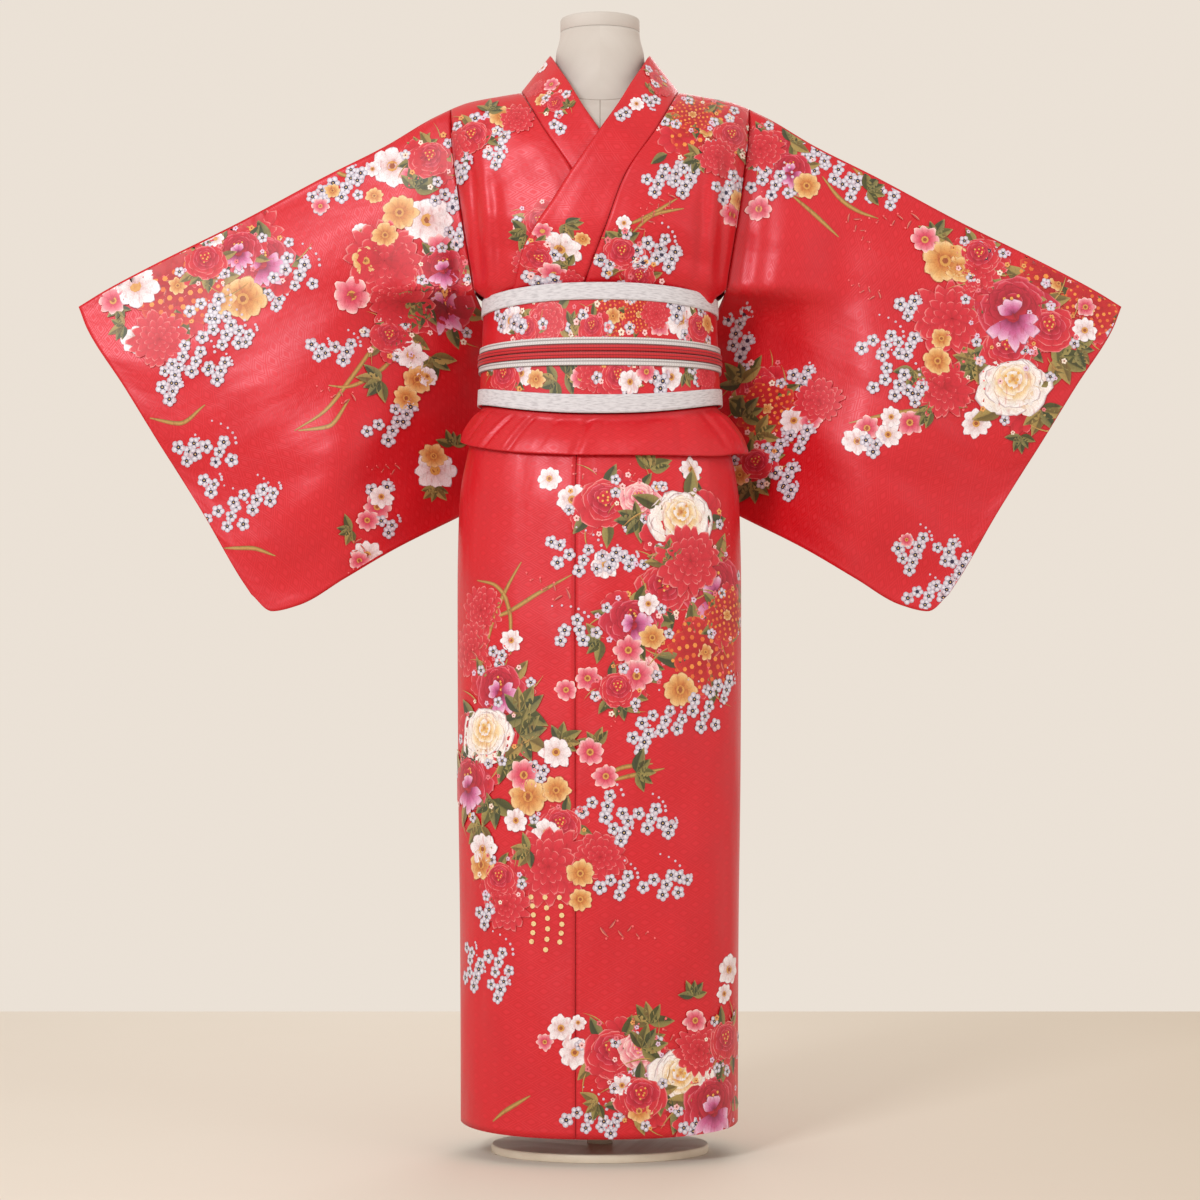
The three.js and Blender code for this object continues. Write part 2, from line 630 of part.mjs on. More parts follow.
// The form under the bodice: the garment's own section, drawn in.
function formSection(degrees, z) {
  const turn = radians(degrees);
  const bulge = (v) => Math.sign(v) * Math.abs(v) ** (2 / BODY_ROUND);
  const side = read(BODICE, 'z', 'seam', z) - FORM_CLEAR - 6;
  const deep = read(BODICE, 'z', Math.cos(turn) > 0 ? 'front' : 'back', z) - FORM_CLEAR;
  return point(side * bulge(Math.sin(turn)), -deep * bulge(Math.cos(turn)), z);
}

// The top of the form's shoulders: the cloth's own rise, with a seat along the ridge.
function formTop(x, y) {
  const back = y > 0;
  const full = sectionDepth(x, SHOULDER_LOW, back ? 'back' : 'front');
  const power = back ? 3 : 2;
  const share = clamp(Math.abs(y) / (full - FORM_CLEAR));
  const rise = (ridgeHeight(x) - SHOULDER_LOW) * (1 - share ** power) ** (1 / power);
  const roundEnd = 34 * smooth(150, 178, Math.abs(x)) ** 2;
  return SHOULDER_LOW + rise - CLOTH - SEAT_GAP - Math.min(3.5, 0.012 * y * y) - roundEnd;
}

function formTorso() {
  const rings = FORM.map((row) => formAngles.map((a) => sectionPoint(FORM, 2.2, a, row.z, 0)));
  [1056, 1071, 1110, 1150, 1185].forEach((z) => rings.push(formAngles.map((a) => formSection(a, z))));
  const edge = formAngles.map((a) => formSection(a, SHOULDER_LOW));
  [0.03, 0.08, 0.15, 0.25, 0.4, 0.6, 0.8, 1].forEach((share) => {
    rings.push(edge.map((p, k) => {
      const base = neckPoint(NECK_BASE, formAngles[k], 0);
      const x = mix(p.x, base.x, share);
      const y = mix(p.y, base.y, share);
      return point(x, y, formTop(x, y));
    }));
  });
  NECK.forEach((row) => rings.push(formAngles.map((a) => neckPoint(row, a, row.z))));
  return loft(rings);
}

function neckPoint(row, degrees, z) {
  const turn = radians(degrees);
  return point(row.side * Math.sin(turn), NECK_BACK - row.deep * Math.cos(turn), z);
}

function neckCap() {
  const ring = (z, inset) => formAngles.map((a) =>
    neckPoint({ side: CAP.side - inset, deep: CAP.deep - inset }, a, z));
  return loft([ring(CAP.low, 0), ring(CAP.top - CAP.lip, 0), ring(CAP.top, CAP.lip)]);
}

function roundPost(radius, low, high) {
  return new THREE.CylinderGeometry(radius, radius, high - low, 24)
    .rotateX(Math.PI / 2)
    .translate(0, 0, (low + high) / 2);
}

// A low oval plate with a softened upper lip.
function basePlate() {
  const ring = (z, inset) => formAngles.map((a) => {
    const turn = radians(a);
    return point((BASE.side - inset) * Math.sin(turn), -(BASE.deep - inset) * Math.cos(turn), z);
  });
  return loft([ring(0, 0), ring(BASE.thick - BASE.lip, 0), ring(BASE.thick, BASE.lip)]);
}

// ---- The parts -----------------------------------------------------------------------------------
const SIDES = { left: 1, right: -1 };
Object.entries(SIDES).forEach(([name, side]) => {
  add(`body_${name}`, bodyPanel(side), RED_SATIN);
  add(`collar_${name}`, collar(side), RED_SATIN);
  add(`sleeve_${name}_front`, sleeveLayer(side, -1), RED_SATIN);
  add(`sleeve_${name}_back`, sleeveLayer(side, 1), RED_SATIN);
});

add('skirt_back_left', skirtPanel(95, 180 - PANEL_SEAM, 9, () => 0), RED_SATIN);
add('skirt_back_right', skirtPanel(180 + PANEL_SEAM, 265, 9, () => 0), RED_SATIN);
add('skirt_front_left', skirtPanel(-7, 95 - 2 * PANEL_SEAM, 12, frontLift), RED_SATIN);
add('overlap_left', skirtPanel(-82, -7 - 2 * PANEL_SEAM, 9, frontLift), RED_SATIN);
add('skirt_front_right', skirtPanel(-95 + 2 * PANEL_SEAM, 0, 10, () => 0), RED_SATIN);
add('overlap_right', skirtPanel(2 * PANEL_SEAM, 58, 7, () => 0), RED_SATIN);
add('tuck_front', tuck(TUCK, 34), RED_SATIN);
add('tuck_back', tuck(TUCK_BACK, 22), RED_SATIN);
BANDS.forEach((band) => {
  const white = band.name.includes('edge');
  const braid = band.name.includes('rib');
  add(band.name, sashBand(band), white ? WHITE_TRIM : braid ? RED_BRAID : SASH_CLOTH);
});

add('form_torso', formTorso(), FORM_COVER);
add('form_neck_cap', neckCap(), FORM_COVER);
add('stand_pole', roundPost(POLE.radius, BASE.thick + SEAM, POLE.top), STAND_PAINT);
add('stand_base', basePlate(), STAND_PAINT);

export default kimono;
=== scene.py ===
"""A red floral kimono with its sash on a limbless dress form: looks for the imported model.

Sizes in the tables are millimetres in the row frame: +Z up, the wearer faces -Y, +X is the wearer's
left. Meshes are written in metres.
"""

import math
from collections import namedtuple

import bpy
import numpy as np
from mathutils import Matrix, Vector


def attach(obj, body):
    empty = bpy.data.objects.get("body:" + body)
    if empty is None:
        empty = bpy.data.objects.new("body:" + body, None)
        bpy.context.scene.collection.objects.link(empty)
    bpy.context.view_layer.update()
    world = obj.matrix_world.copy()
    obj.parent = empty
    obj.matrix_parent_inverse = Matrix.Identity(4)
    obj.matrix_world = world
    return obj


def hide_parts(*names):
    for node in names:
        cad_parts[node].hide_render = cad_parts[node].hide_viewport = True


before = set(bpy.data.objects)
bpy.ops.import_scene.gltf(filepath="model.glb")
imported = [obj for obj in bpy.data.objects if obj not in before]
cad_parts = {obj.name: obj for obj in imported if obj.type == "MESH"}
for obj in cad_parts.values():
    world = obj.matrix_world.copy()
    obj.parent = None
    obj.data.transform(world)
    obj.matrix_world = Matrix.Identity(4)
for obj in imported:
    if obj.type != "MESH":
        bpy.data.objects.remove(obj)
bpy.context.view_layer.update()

MM = 0.001

# ---- Camera --------------------------------------------------------------------------------------
CAMERA_AT = (0.0, -3.543, 0.580)
CAMERA_RISE = 1.70  # degrees that the lens looks up
LENS = 85.0


def make_camera():
    data = bpy.data.cameras.new("camera")
    data.lens = LENS
    data.sensor_width = 36.0
    camera = bpy.data.objects.new("camera", data)
    camera.location = CAMERA_AT
    camera.rotation_euler = (math.radians(90 + CAMERA_RISE), 0, 0)
    bpy.context.collection.objects.link(camera)
    bpy.context.scene.camera = camera


make_camera()


# ---- Tables --------------------------------------------------------------------------------------
class Table:
    """Columns by name. curve(key, name) reads a column as a smooth curve that doesn't overshoot."""

    def __init__(self, names, rows):
        self.columns = {n: np.array(c, float) for n, c in zip(names.split(), zip(*rows))}

    def curve(self, key, name):
        xs = self.columns[key]
        ys = self.columns[name]
        step = np.diff(xs)
        slope = np.diff(ys) / step
        tangent = np.concatenate([slope[:1], np.zeros(len(xs) - 2), slope[-1:]])
        before, after = slope[:-1], slope[1:]
        same = before * after > 0
        total = np.where(same, before + after, 1.0)
        tangent[1:-1] = np.where(same, 2 * before * after / total, 0.0)

        def at(x):
            x = np.clip(np.asarray(x, float), xs[0], xs[-1])
            i = np.clip(np.searchsorted(xs, x, side="right") - 1, 0, len(xs) - 2)
            t = (x - xs[i]) / step[i]
            return (
                (2 * t**3 - 3 * t**2 + 1) * ys[i]
                + (t**3 - 2 * t**2 + t) * step[i] * tangent[i]
                + (3 * t**2 - 2 * t**3) * ys[i + 1]
                + (t**3 - t**2) * step[i] * tangent[i + 1]
            )

        return at


def smooth(low, high, v):
    """A soft step from 0 at low to 1 at high."""
    t = np.clip((np.asarray(v, float) - low) / (high - low), 0, 1)
    return t * t * (3 - 2 * t)


def mix(a, b, t):
    """From a to b by the share t."""
    return a + (b - a) * t


def bulge(value, power):
    """A sine or cosine pressed outward, so that a ring becomes a rounded box."""
    return np.sign(value) * np.abs(value) ** (2 / power)


BODICE = Table(
    "z seam front back",
    [
        (1020, 138, 80, 84),
        (1058, 143, 86, 88),
        (1071, 157, 95, 91),
        (1090, 160, 104, 93),
        (1150, 170, 117, 97),
        (1200, 177, 112, 97),
        (1256, 184, 112, 97),
        (1302, 187, 112, 97),
        (1340, 188, 112, 97),
    ],
)
RIDGE = Table("x z", [(0, 1325), (60, 1325), (99, 1321), (125, 1317), (164, 1310), (188, 1302)])
COLLAR_SEAM = Table(
    "z x",
    [
        (1015, -38),
        (1045, -27),
        (1085, -13),
        (1136, 7),
        (1196, 29),
        (1259, 69),
        (1291, 86),
        (1321, 99),
    ],
)
COLLAR_EDGE = Table(
    "z x",
    [
        (1015, -118),
        (1070, -105),
        (1115, -92),
        (1164, -61),
        (1199, -39),
        (1257, 0),
        (1296, 25),
        (1370, 63),
    ],
)
NECK_BAND = Table(
    "step seam_x seam_y seam_z edge_x edge_y edge_z",
    [
        (0, 0, 71, 1312, 0, 86, 1352),
        (1, 34, 68, 1313, 24, 82, 1354),
        (2, 66, 54, 1318, 45, 66, 1360),
        (3, 88, 33, 1322, 58, 38, 1366),
        (4, 99, 4, 1325, 63, 2, 1370),
        (5, 95, -38, 1312, 53, -38, 1349),
        (6, 85.5, -71, 1291, 38, -66, 1322),
        (7, 68.5, -95, 1259, 21, -88, 1290),
        (8, 49, -106, 1228, 0, -103, 1257),
    ],
)
CHEST_BAND = Table(
    "step seam_z edge_z",
    [
        (9, 1196, 1224),
        (10, 1166, 1194),
        (11, 1136, 1166),
        (12, 1110, 1140),
        (13, 1085, 1113),
        (14, 1072, 1098),
        (15, 1064, 1084),
        (16, 1060, 1072),
        (17, 1054, 1064),
        (18, 1040, 1048),
    ],
)
SKIRT = Table(
    "z side front back",
    [
        (30, 171, 119, 112),
        (250, 172, 118, 113),
        (480, 175, 119, 116),
        (700, 176, 121, 121),
        (800, 174, 120, 123),
        (870, 163, 108, 114),
        (905, 151, 93, 99),
        (930, 140, 88, 90),
    ],
)
TUCK = Table(
    "angle out low",
    [
        (-104, 9, 884),
        (-90, 12, 882),
        (-62, 8, 872),
        (-25, 7, 860),
        (0, 7, 857),
        (45, 8, 858),
        (72, 13, 864),
        (92, 20, 867),
    ],
)
TUCK_BACK = Table(
    "angle out low",
    [(94, 9, 876), (130, 7, 872), (180, 7, 870), (230, 7, 872), (254, 8, 880)],
)

# Thicknesses of the cloth, and the clear ways left at its seams.
CLOTH = 2.0
SLEEVE_CLOTH = 1.8
COLLAR_CLOTH = 2.6
SEAM = 0.3
COLLAR_GAP = 0.5
COLLAR_SEAT = 10.0  # at the back neck the collar's seam edge reaches down to the body panels
COLLAR_WIDE = 60.0
COLLAR_STEPS = 18  # from the back middle to the foot on the chest
LAYER = 6.0  # the wearer's left front lies this far out over the right one
BODY_FOOT = 1036.0
SHOULDER_LOW = 1200.0
SHOULDER_TOP = 1302.0
COLLAR_TOP = 1321.0  # where the collar's seam meets the shoulder's ridge
NECK_HALF = 99.0
NECK_OPEN = 37.0  # degrees behind the ridge at which the back neck closes
ARMHOLE_HALF = 28.0
# Powers of the rounded sections: 2 is an ellipse, more is boxier.
BODY_ROUND = 2.3
SKIRT_ROUND = 2.35
FORM_ROUND = 2.2
HEM_HEIGHT = 42.0
HEM_SAG = 9.0
SKIRT_TOP = 926.0

bodice = {name: BODICE.curve("z", name) for name in ("seam", "front", "back")}
ridge_curve = RIDGE.curve("x", "z")
collar_seam = COLLAR_SEAM.curve("z", "x")
collar_edge = COLLAR_EDGE.curve("z", "x")

SLEEVE_TOP = [
    (187.5, 1302), (214, 1289), (269, 1256), (346, 1217), (450, 1161), (564, 1104), (620, 1074),
    (654, 1053),
]
SLEEVE_WRIST = [
    (654, 1053), (643, 1026), (594, 951), (541, 864), (496, 792), (452, 716), (436, 692),
]
SLEEVE_FOOT = [
    (58, 866), (172, 799), (256, 752), (320, 712), (376, 679), (410, 671), (436, 692),
]
SLEEVE_INNER = [
    (187.5, 1302), (184.6, 1256), (177.6, 1200), (170.6, 1150), (162.8, 1092), (157, 1071),
    (134, 1026), (104, 962), (74, 902), (58, 866),
]
UNDERARM = 1071.0
SLEEVE_BEHIND = 136.0  # how far back the inner lower corner lies, behind the sash
SLEEVE_SWING_FROM = 340.0  # the x from which the sleeve swings back
CUFF_SHARE = 0.56  # share of the wrist edge, from its top, that stands open

# Upright folds near the armhole and broad swells, as in the model's own solids.
SLEEVE_FOLDS = [
    dict(along=0.05, down=0.42, wide=0.035, tall=0.22, deep=5),
    dict(along=0.13, down=0.5, wide=0.05, tall=0.3, deep=-5),
    dict(along=0.3, down=0.45, wide=0.12, tall=0.3, deep=7),
    dict(along=0.62, down=0.6, wide=0.14, tall=0.35, deep=-6),
]
SKIRT_FOLDS = [
    dict(angle=-58, wide=9, deep=-1.6, low=420, high=900),
    dict(angle=38, wide=12, deep=-1.8, low=300, high=880),
    dict(angle=68, wide=9, deep=2.2, low=120, high=820),
    dict(angle=150, wide=11, deep=-2.4, low=200, high=880),
    dict(angle=210, wide=11, deep=-2.2, low=260, high=880),
    dict(angle=245, wide=8, deep=1.8, low=150, high=800),
]


# ---- Creases -------------------------------------------------------------------------------------
def creases(rows, x, y):
    """Soft troughs and ridges along lines: each row has its two ends, half width and depth."""
    total = np.zeros(np.broadcast(x, y).shape)
    for x0, y0, x1, y1, wide, deep in rows:
        run = math.hypot(x1 - x0, y1 - y0)
        ax, ay = (x1 - x0) / run, (y1 - y0) / run
        down = (x - x0) * ax + (y - y0) * ay
        side = -(x - x0) * ay + (y - y0) * ax
        fade = smooth(-0.25 * run, 0.25 * run, down) * (1 - smooth(0.75 * run, 1.25 * run, down))
        total = total + deep * fade * np.exp(-((side / wide) ** 2))
    return total


# Seen from the front, on the wearer's left and right: ends (x, z), half width, depth (out is +).
BODICE_CREASES = {
    1: [
        (156, 1225, 147, 1082, 5, -6.0),
        (142, 1215, 135, 1072, 7, 3.6),
        (126, 1190, 121, 1078, 6, -3.0),
        (50, 1150, 140, 1122, 13, 2.6),
        (60, 1108, 150, 1092, 8, -2.4),
        (40, 1088, 120, 1076, 6, 1.6),
        (95, 1275, 170, 1228, 10, 2.0),
        (80, 1245, 150, 1190, 9, -1.6),
    ],
    -1: [
        (158, 1228, 147, 1078, 5, -6.4),
        (144, 1220, 134, 1075, 7, 4.0),
        (127, 1180, 124, 1080, 6, -3.2),
        (50, 1128, 145, 1160, 13, 3.0),
        (56, 1100, 140, 1118, 9, -2.4),
        (95, 1270, 168, 1218, 10, 2.2),
        (70, 1235, 140, 1186, 10, -1.8),
    ],
}
# On a sleeve: ends as (share along, share down), half width as a share, depth in millimetres.
SLEEVE_CREASES = {
    1: [
        (0.02, 0.12, 0.03, 0.48, 0.013, -4.0),
        (0.06, 0.18, 0.07, 0.55, 0.016, 3.0),
        (0.1, 0.3, 0.12, 0.7, 0.018, -2.6),
        (0.12, 0.12, 0.3, 0.6, 0.07, 6.0),
        (0.3, 0.2, 0.4, 0.6, 0.06, -3.4),
        (0.25, 0.66, 0.8, 0.88, 0.08, 9.0),
        (0.3, 0.2, 0.75, 0.13, 0.07, 4.0),
        (0.62, 0.35, 0.86, 0.62, 0.06, -2.6),
    ],
    -1: [
        (0.02, 0.1, 0.03, 0.5, 0.014, -3.6),
        (0.06, 0.2, 0.08, 0.6, 0.017, 3.2),
        (0.12, 0.35, 0.13, 0.75, 0.02, -2.4),
        (0.15, 0.6, 0.85, 0.86, 0.085, 12.0),
        (0.2, 0.4, 0.7, 0.6, 0.07, -3.4),
        (0.25, 0.2, 0.65, 0.13, 0.075, 5.5),
        (0.72, 0.2, 0.92, 0.5, 0.06, 2.6),
    ],
}
# On the tuck: ends as (angle, 60ths of the way up), half width in degrees, depth.
TUCK_CREASES = [
    (-40, 54, -53, 2, 1.3, -3.0),
    (-42, 54, -56, 2, 1.6, 1.8),
    (-27, 56, -37, 0, 1.2, -3.2),
    (-30, 56, -40, 0, 1.4, 1.8),
    (-15, 56, -22, 8, 1.6, -1.6),
    (-3, 58, -8, 0, 1.0, -3.0),
    (0, 58, -5, 0, 1.1, 2.2),
    (22, 52, 14, 12, 4.0, 1.8),
    (34, 54, 30, 8, 3.0, -1.6),
    (52, 56, 60, 12, 3.0, -2.2),
    (66, 56, 78, 10, 2.6, 2.4),
    (80, 54, 88, 6, 2.2, -2.4),
    (-62, 54, -70, 8, 2.4, -2.2),
    (-78, 54, -84, 12, 2.6, 1.8),
    (120, 54, 116, 6, 3.0, -2.2),
    (140, 54, 146, 10, 3.4, 1.6),
    (160, 56, 166, 12, 3.4, -2.0),
    (184, 56, 180, 4, 2.0, -2.4),
    (205, 54, 200, 9, 3.2, 2.0),
    (238, 56, 244, 12, 2.6, -2.2),
]


# ---- The garment's surfaces ----------------------------------------------------------------------
def section_depth(x, z, side):
    full = bodice[side](z)
    share = np.clip(np.abs(x) / bodice["seam"](z), 0, 1)
    return ARMHOLE_HALF + (full - ARMHOLE_HALF) * (1 - share**BODY_ROUND) ** (1 / BODY_ROUND)


def ridge(x):
    return ridge_curve(np.abs(x))


def chest(x, z):
    up = np.clip((z - SHOULDER_LOW) / (ridge(x) - SHOULDER_LOW), 0, 1)
    return -section_depth(x, z, "front") * np.sqrt(1 - up * up)


def overlap(x, z, side):
    """How far the wearer's left front lies out over the right one."""
    if side < 0:
        return np.zeros(np.broadcast(x, z).shape)
    return LAYER * (1 - smooth(14, 68, x + collar_edge(z)))


def front_panel(side):
    """Places on a body panel's front, from (x, z) seen from the front, x out from the middle."""

    def place(x, z):
        x, z = np.broadcast_arrays(np.asarray(x, float), np.asarray(z, float))
        x = np.clip(x, collar_seam(np.minimum(z, COLLAR_TOP)) + SEAM, bodice["seam"](z))
        y = chest(x, z) - overlap(x, z, side) - creases(BODICE_CREASES[side], x, z)
        return np.stack([side * x, y, z], axis=-1)

    return place


def body_panel(side):
    """Rows from the front's foot over the shoulder to the back's foot."""
    across = np.linspace(0, 1, 46)
    share = 1 - (1 - across) ** 1.25
    rows = []
    place = front_panel(side)
    for z in np.linspace(BODY_FOOT, SHOULDER_LOW, 34):
        inner = collar_seam(z) + SEAM
        rows.append(place(mix(inner, bodice["seam"](z), share), np.full(len(share), z)))
    for turn in np.radians(np.linspace(88, 0, 28)):
        up = math.cos(turn)
        level = mix(SHOULDER_LOW, SHOULDER_TOP, up)
        inner = collar_seam(mix(SHOULDER_LOW, COLLAR_TOP + 1, up)) + SEAM
        x = mix(inner, bodice["seam"](level), share)
        z = mix(SHOULDER_LOW, ridge(x), up)
        lift = overlap(x, z, side) + creases(BODICE_CREASES[side], x, z)
        y = -(section_depth(x, level, "front") + lift) * math.sin(turn)
        rows.append(np.stack([side * x, y, z], axis=-1))
    for degrees in np.linspace(4, 90, 28):
        turn = math.radians(degrees)
        up = max(0.0, math.cos(turn)) ** (2 / 3)
        level = mix(SHOULDER_LOW, SHOULDER_TOP, up)
        open_neck = math.sqrt(max(0.0, 1 - (degrees / NECK_OPEN) ** 2))
        inner = mix(SEAM / 2, NECK_HALF, open_neck)
        x = mix(inner, bodice["seam"](level), share)
        y = section_depth(x, level, "back") * math.sin(turn) ** (2 / 3)
        rows.append(np.stack([side * x, y, mix(SHOULDER_LOW, ridge(x), up)], axis=-1))
    for z in np.linspace(SHOULDER_LOW - 4, BODY_FOOT, 32):
        x = mix(SEAM / 2, bodice["seam"](z), share)
        folds = creases(BODICE_CREASES[side], x, np.full(len(x), z))
        rows.append(np.stack([side * x, section_depth(x, z, "back") + folds, x * 0 + z], axis=-1))
    return np.array(rows)


def collar_lines():
    """The collar's seam line and free edge as smooth curves over its steps."""
    steps = np.concatenate([NECK_BAND.columns["step"], CHEST_BAND.columns["step"]])
    low = CHEST_BAND.columns

    def joined(name, chest_values):
        rows = list(zip(steps, np.concatenate([NECK_BAND.columns[name], chest_values])))
        return Table("step value", rows).curve("step", "value")

    seam_x, edge_x = collar_seam(low["seam_z"]), collar_edge(low["edge_z"])
    return {
        "seam_x": joined("seam_x", seam_x),
        "seam_z": joined("seam_z", low["seam_z"]),
        "seam_y": joined("seam_y", chest(seam_x, low["seam_z"])),
        "edge_x": joined("edge_x", edge_x),
        "edge_z": joined("edge_z", low["edge_z"]),
        "edge_y": joined("edge_y", chest(edge_x, low["edge_z"])),
    }


COLLAR = collar_lines()


def collar_band(side):
    """Places on the collar, from (step, share across): 0 at the free edge, 1 at the seam."""

    def place(step, share):
        step, share = np.broadcast_arrays(np.asarray(step, float), np.asarray(share, float))
        seam_x = COLLAR["seam_x"](step) - COLLAR_GAP
        x = mix(COLLAR["edge_x"](step), seam_x, share)
        x = x + (COLLAR_GAP + SEAM) * (1 - smooth(0, 0.5, step))
        z = mix(COLLAR["edge_z"](step), COLLAR["seam_z"](step), share)
        z = z - COLLAR_SEAT * (1 - smooth(2.4, 4.3, step)) * share**4
        y = mix(COLLAR["edge_y"](step), COLLAR["seam_y"](step), share)
        on_chest = smooth(8, 9.5, step)
        y = mix(y, chest(x, z), on_chest) - overlap(x, z, side) * smooth(4.5, 6, step)
        edge_roll = 1.1 * np.exp(-(((share - 0.06) / 0.07) ** 2))
        y = y - edge_roll * smooth(6, 8, step)
        return np.stack([side * x, y, z], axis=-1)

    return place


class Polyline:
    """A smooth curve through points in the plane, read by its share of the length."""

    def __init__(self, points):
        p = np.array(points, float)
        length = np.concatenate([[0], np.cumsum(np.hypot(*np.diff(p, axis=0).T))])
        table = Table("at x z", list(zip(length / length[-1], p[:, 0], p[:, 1])))
        self.x = table.curve("at", "x")
        self.z = table.curve("at", "z")


TOP, FOOT, INNER, WRIST = map(Polyline, (SLEEVE_TOP, SLEEVE_FOOT, SLEEVE_INNER, SLEEVE_WRIST))


def sleeve_outline(s, t):
    """A sleeve's places seen from the front, blended from its four edges."""
    inner_z = INNER.z(t)
    inner_x = np.where(inner_z > UNDERARM, bodice["seam"](inner_z) + SEAM, INNER.x(t))
    places = []
    for number, inner in enumerate((inner_x, inner_z)):
        top, foot, wrist = (getattr(line, "xz"[number]) for line in (TOP, FOOT, WRIST))
        corner = [line[end][number] for end in (0, -1) for line in (SLEEVE_TOP, SLEEVE_FOOT)]
        near = (1 - s) * ((1 - t) * corner[0] + t * corner[1])
        far = s * ((1 - t) * corner[2] + t * corner[3])
        edges = (1 - t) * top(s) + t * foot(s) + (1 - s) * inner + s * wrist(t)
        places.append(edges - near - far)
    return places[0], places[1]


def sleeve_half(s, t, z):
    """Half the way from a sleeve's front to its back: wide at the armhole and in the cuff."""
    least = SLEEVE_CLOTH + 0.5
    rounded = np.sqrt(np.clip(1 - (1 - 2 * t) ** 4, 0, 1))
    up = np.clip((z - SHOULDER_LOW) / (SHOULDER_TOP - SHOULDER_LOW), 0, 1)
    low = mix(14, ARMHOLE_HALF, smooth(UNDERARM - 150, UNDERARM, z))
    armhole = np.where(z > SHOULDER_LOW, ARMHOLE_HALF * np.sqrt(1 - up**2), low)
    cuff = 17 * np.sin(math.pi * np.clip(t / CUFF_SHARE, 0, 1)) ** 0.7
    inward = mix(armhole, 24 * rounded, smooth(0, 0.35, s))
    half = mix(inward, cuff, smooth(0.55, 1, s) ** 1.5) * mix(1, rounded, smooth(0, 0.1, s))
    return np.maximum(least, half)


def sleeve_layer(side, face):
    """Places on a sleeve's front (face -1) or back (face 1), from shares along and down."""

    def place(s, t, inset=0.0):
        s, t = np.broadcast_arrays(np.asarray(s, float), np.asarray(t, float))
        s, t = np.clip(s, 0, 1), np.clip(t, 0, 1)
        x, z = sleeve_outline(s, t)
        edge = np.minimum(t, 1 - t)
        tip = np.sqrt(np.clip(edge / 0.012, 0, 1))
        half = mix(SEAM / 2 + SLEEVE_CLOTH, sleeve_half(s, t, z), tip)
        below = np.clip((UNDERARM - z) / 205, 0, 1)
        near = smooth(-SLEEVE_SWING_FROM, -58, -x)
        clear = half * smooth(-330, -150, -x) * smooth(0, 0.12, below)
        middle = SLEEVE_BEHIND * near * (1 - (1 - below) ** 5) + clear
        for fold in SLEEVE_FOLDS:
            far = ((s - fold["along"]) / fold["wide"]) ** 2
            far = far + ((t - fold["down"]) / fold["tall"]) ** 2
            middle = middle + fold["deep"] * np.exp(-far) * np.sin(math.pi * t)
        fine = creases(SLEEVE_CREASES[side], s, t) * np.sin(math.pi * t) * smooth(0, 0.04, s)
        y = middle + face * (half - inset) + face * 0.85 * fine
        return np.stack([side * x, y, z], axis=-1)

    return place


def section(table):
    """A section's half width and its two depths, as curves over the height."""
    return {name: table.curve("z", name) for name in ("side", "front", "back")}


def rounded_section(sizes, degrees, z, out, power=SKIRT_ROUND):
    """Places on a rounded section: 0 degrees is the front middle, 90 the wearer's left."""
    turn = np.radians(degrees)
    sine, cosine = np.sin(turn), np.cos(turn)
    side = sizes["side"](z) + out
    deep = np.where(cosine > 0, sizes["front"](z), sizes["back"](z)) + out
    x, y = side * bulge(sine, power), -deep * bulge(cosine, power)
    return np.stack([x, y, z + 0 * side], axis=-1)


SKIRT_SIZES = section(SKIRT)


def skirt_folds(degrees, z):
    total = np.zeros(np.broadcast(degrees, z).shape)
    for f in SKIRT_FOLDS:
        tall = smooth(f["low"], f["low"] + 160, z) * (1 - smooth(f["high"] - 120, f["high"], z))
        total = total + f["deep"] * np.exp(-(((degrees - f["angle"]) / f["wide"]) ** 2)) * tall
    return total


# Fine creases of the skirt: ends as (angle, z), half width in degrees, depth.
SKIRT_CREASES = [
    (-70, 905, -66, 700, 2.2, -0.9),
    (-34, 900, -30, 620, 2.6, 0.7),
    (-12, 900, -14, 760, 1.6, -0.6),
    (16, 900, 22, 640, 2.4, -0.8),
    (48, 900, 44, 560, 3.0, 0.9),
    (80, 900, 76, 480, 2.6, -1.2),
    (62, 420, 66, 120, 3.2, 1.0),
    (-50, 360, -56, 90, 3.4, -0.9),
    (10, 300, 6, 60, 3.0, 0.6),
    (108, 900, 112, 500, 2.6, -1.2),
    (140, 900, 134, 560, 3.0, 1.1),
    (196, 900, 200, 480, 2.8, -1.2),
    (226, 880, 222, 420, 3.2, 1.2),
    (170, 420, 166, 100, 3.2, -1.0),
]


def front_lift(degrees):
    return (CLOTH + 0.6) * (1 - smooth(62, 92, degrees))


def hem_height(degrees):
    return HEM_HEIGHT - HEM_SAG * np.maximum(0, np.cos(np.radians(degrees)))


def skirt_surface(lifted):
    """Places on the skirt, from the angle round the body and the height."""

    def place(degrees, z):
        degrees, z = np.broadcast_arrays(np.asarray(degrees, float), np.asarray(z, float))
        out = skirt_folds(degrees, z) + 0.6 * creases(SKIRT_CREASES, degrees, z)
        if lifted:
            out = out + front_lift(degrees)
        return rounded_section(SKIRT_SIZES, degrees, z, out)

    return place


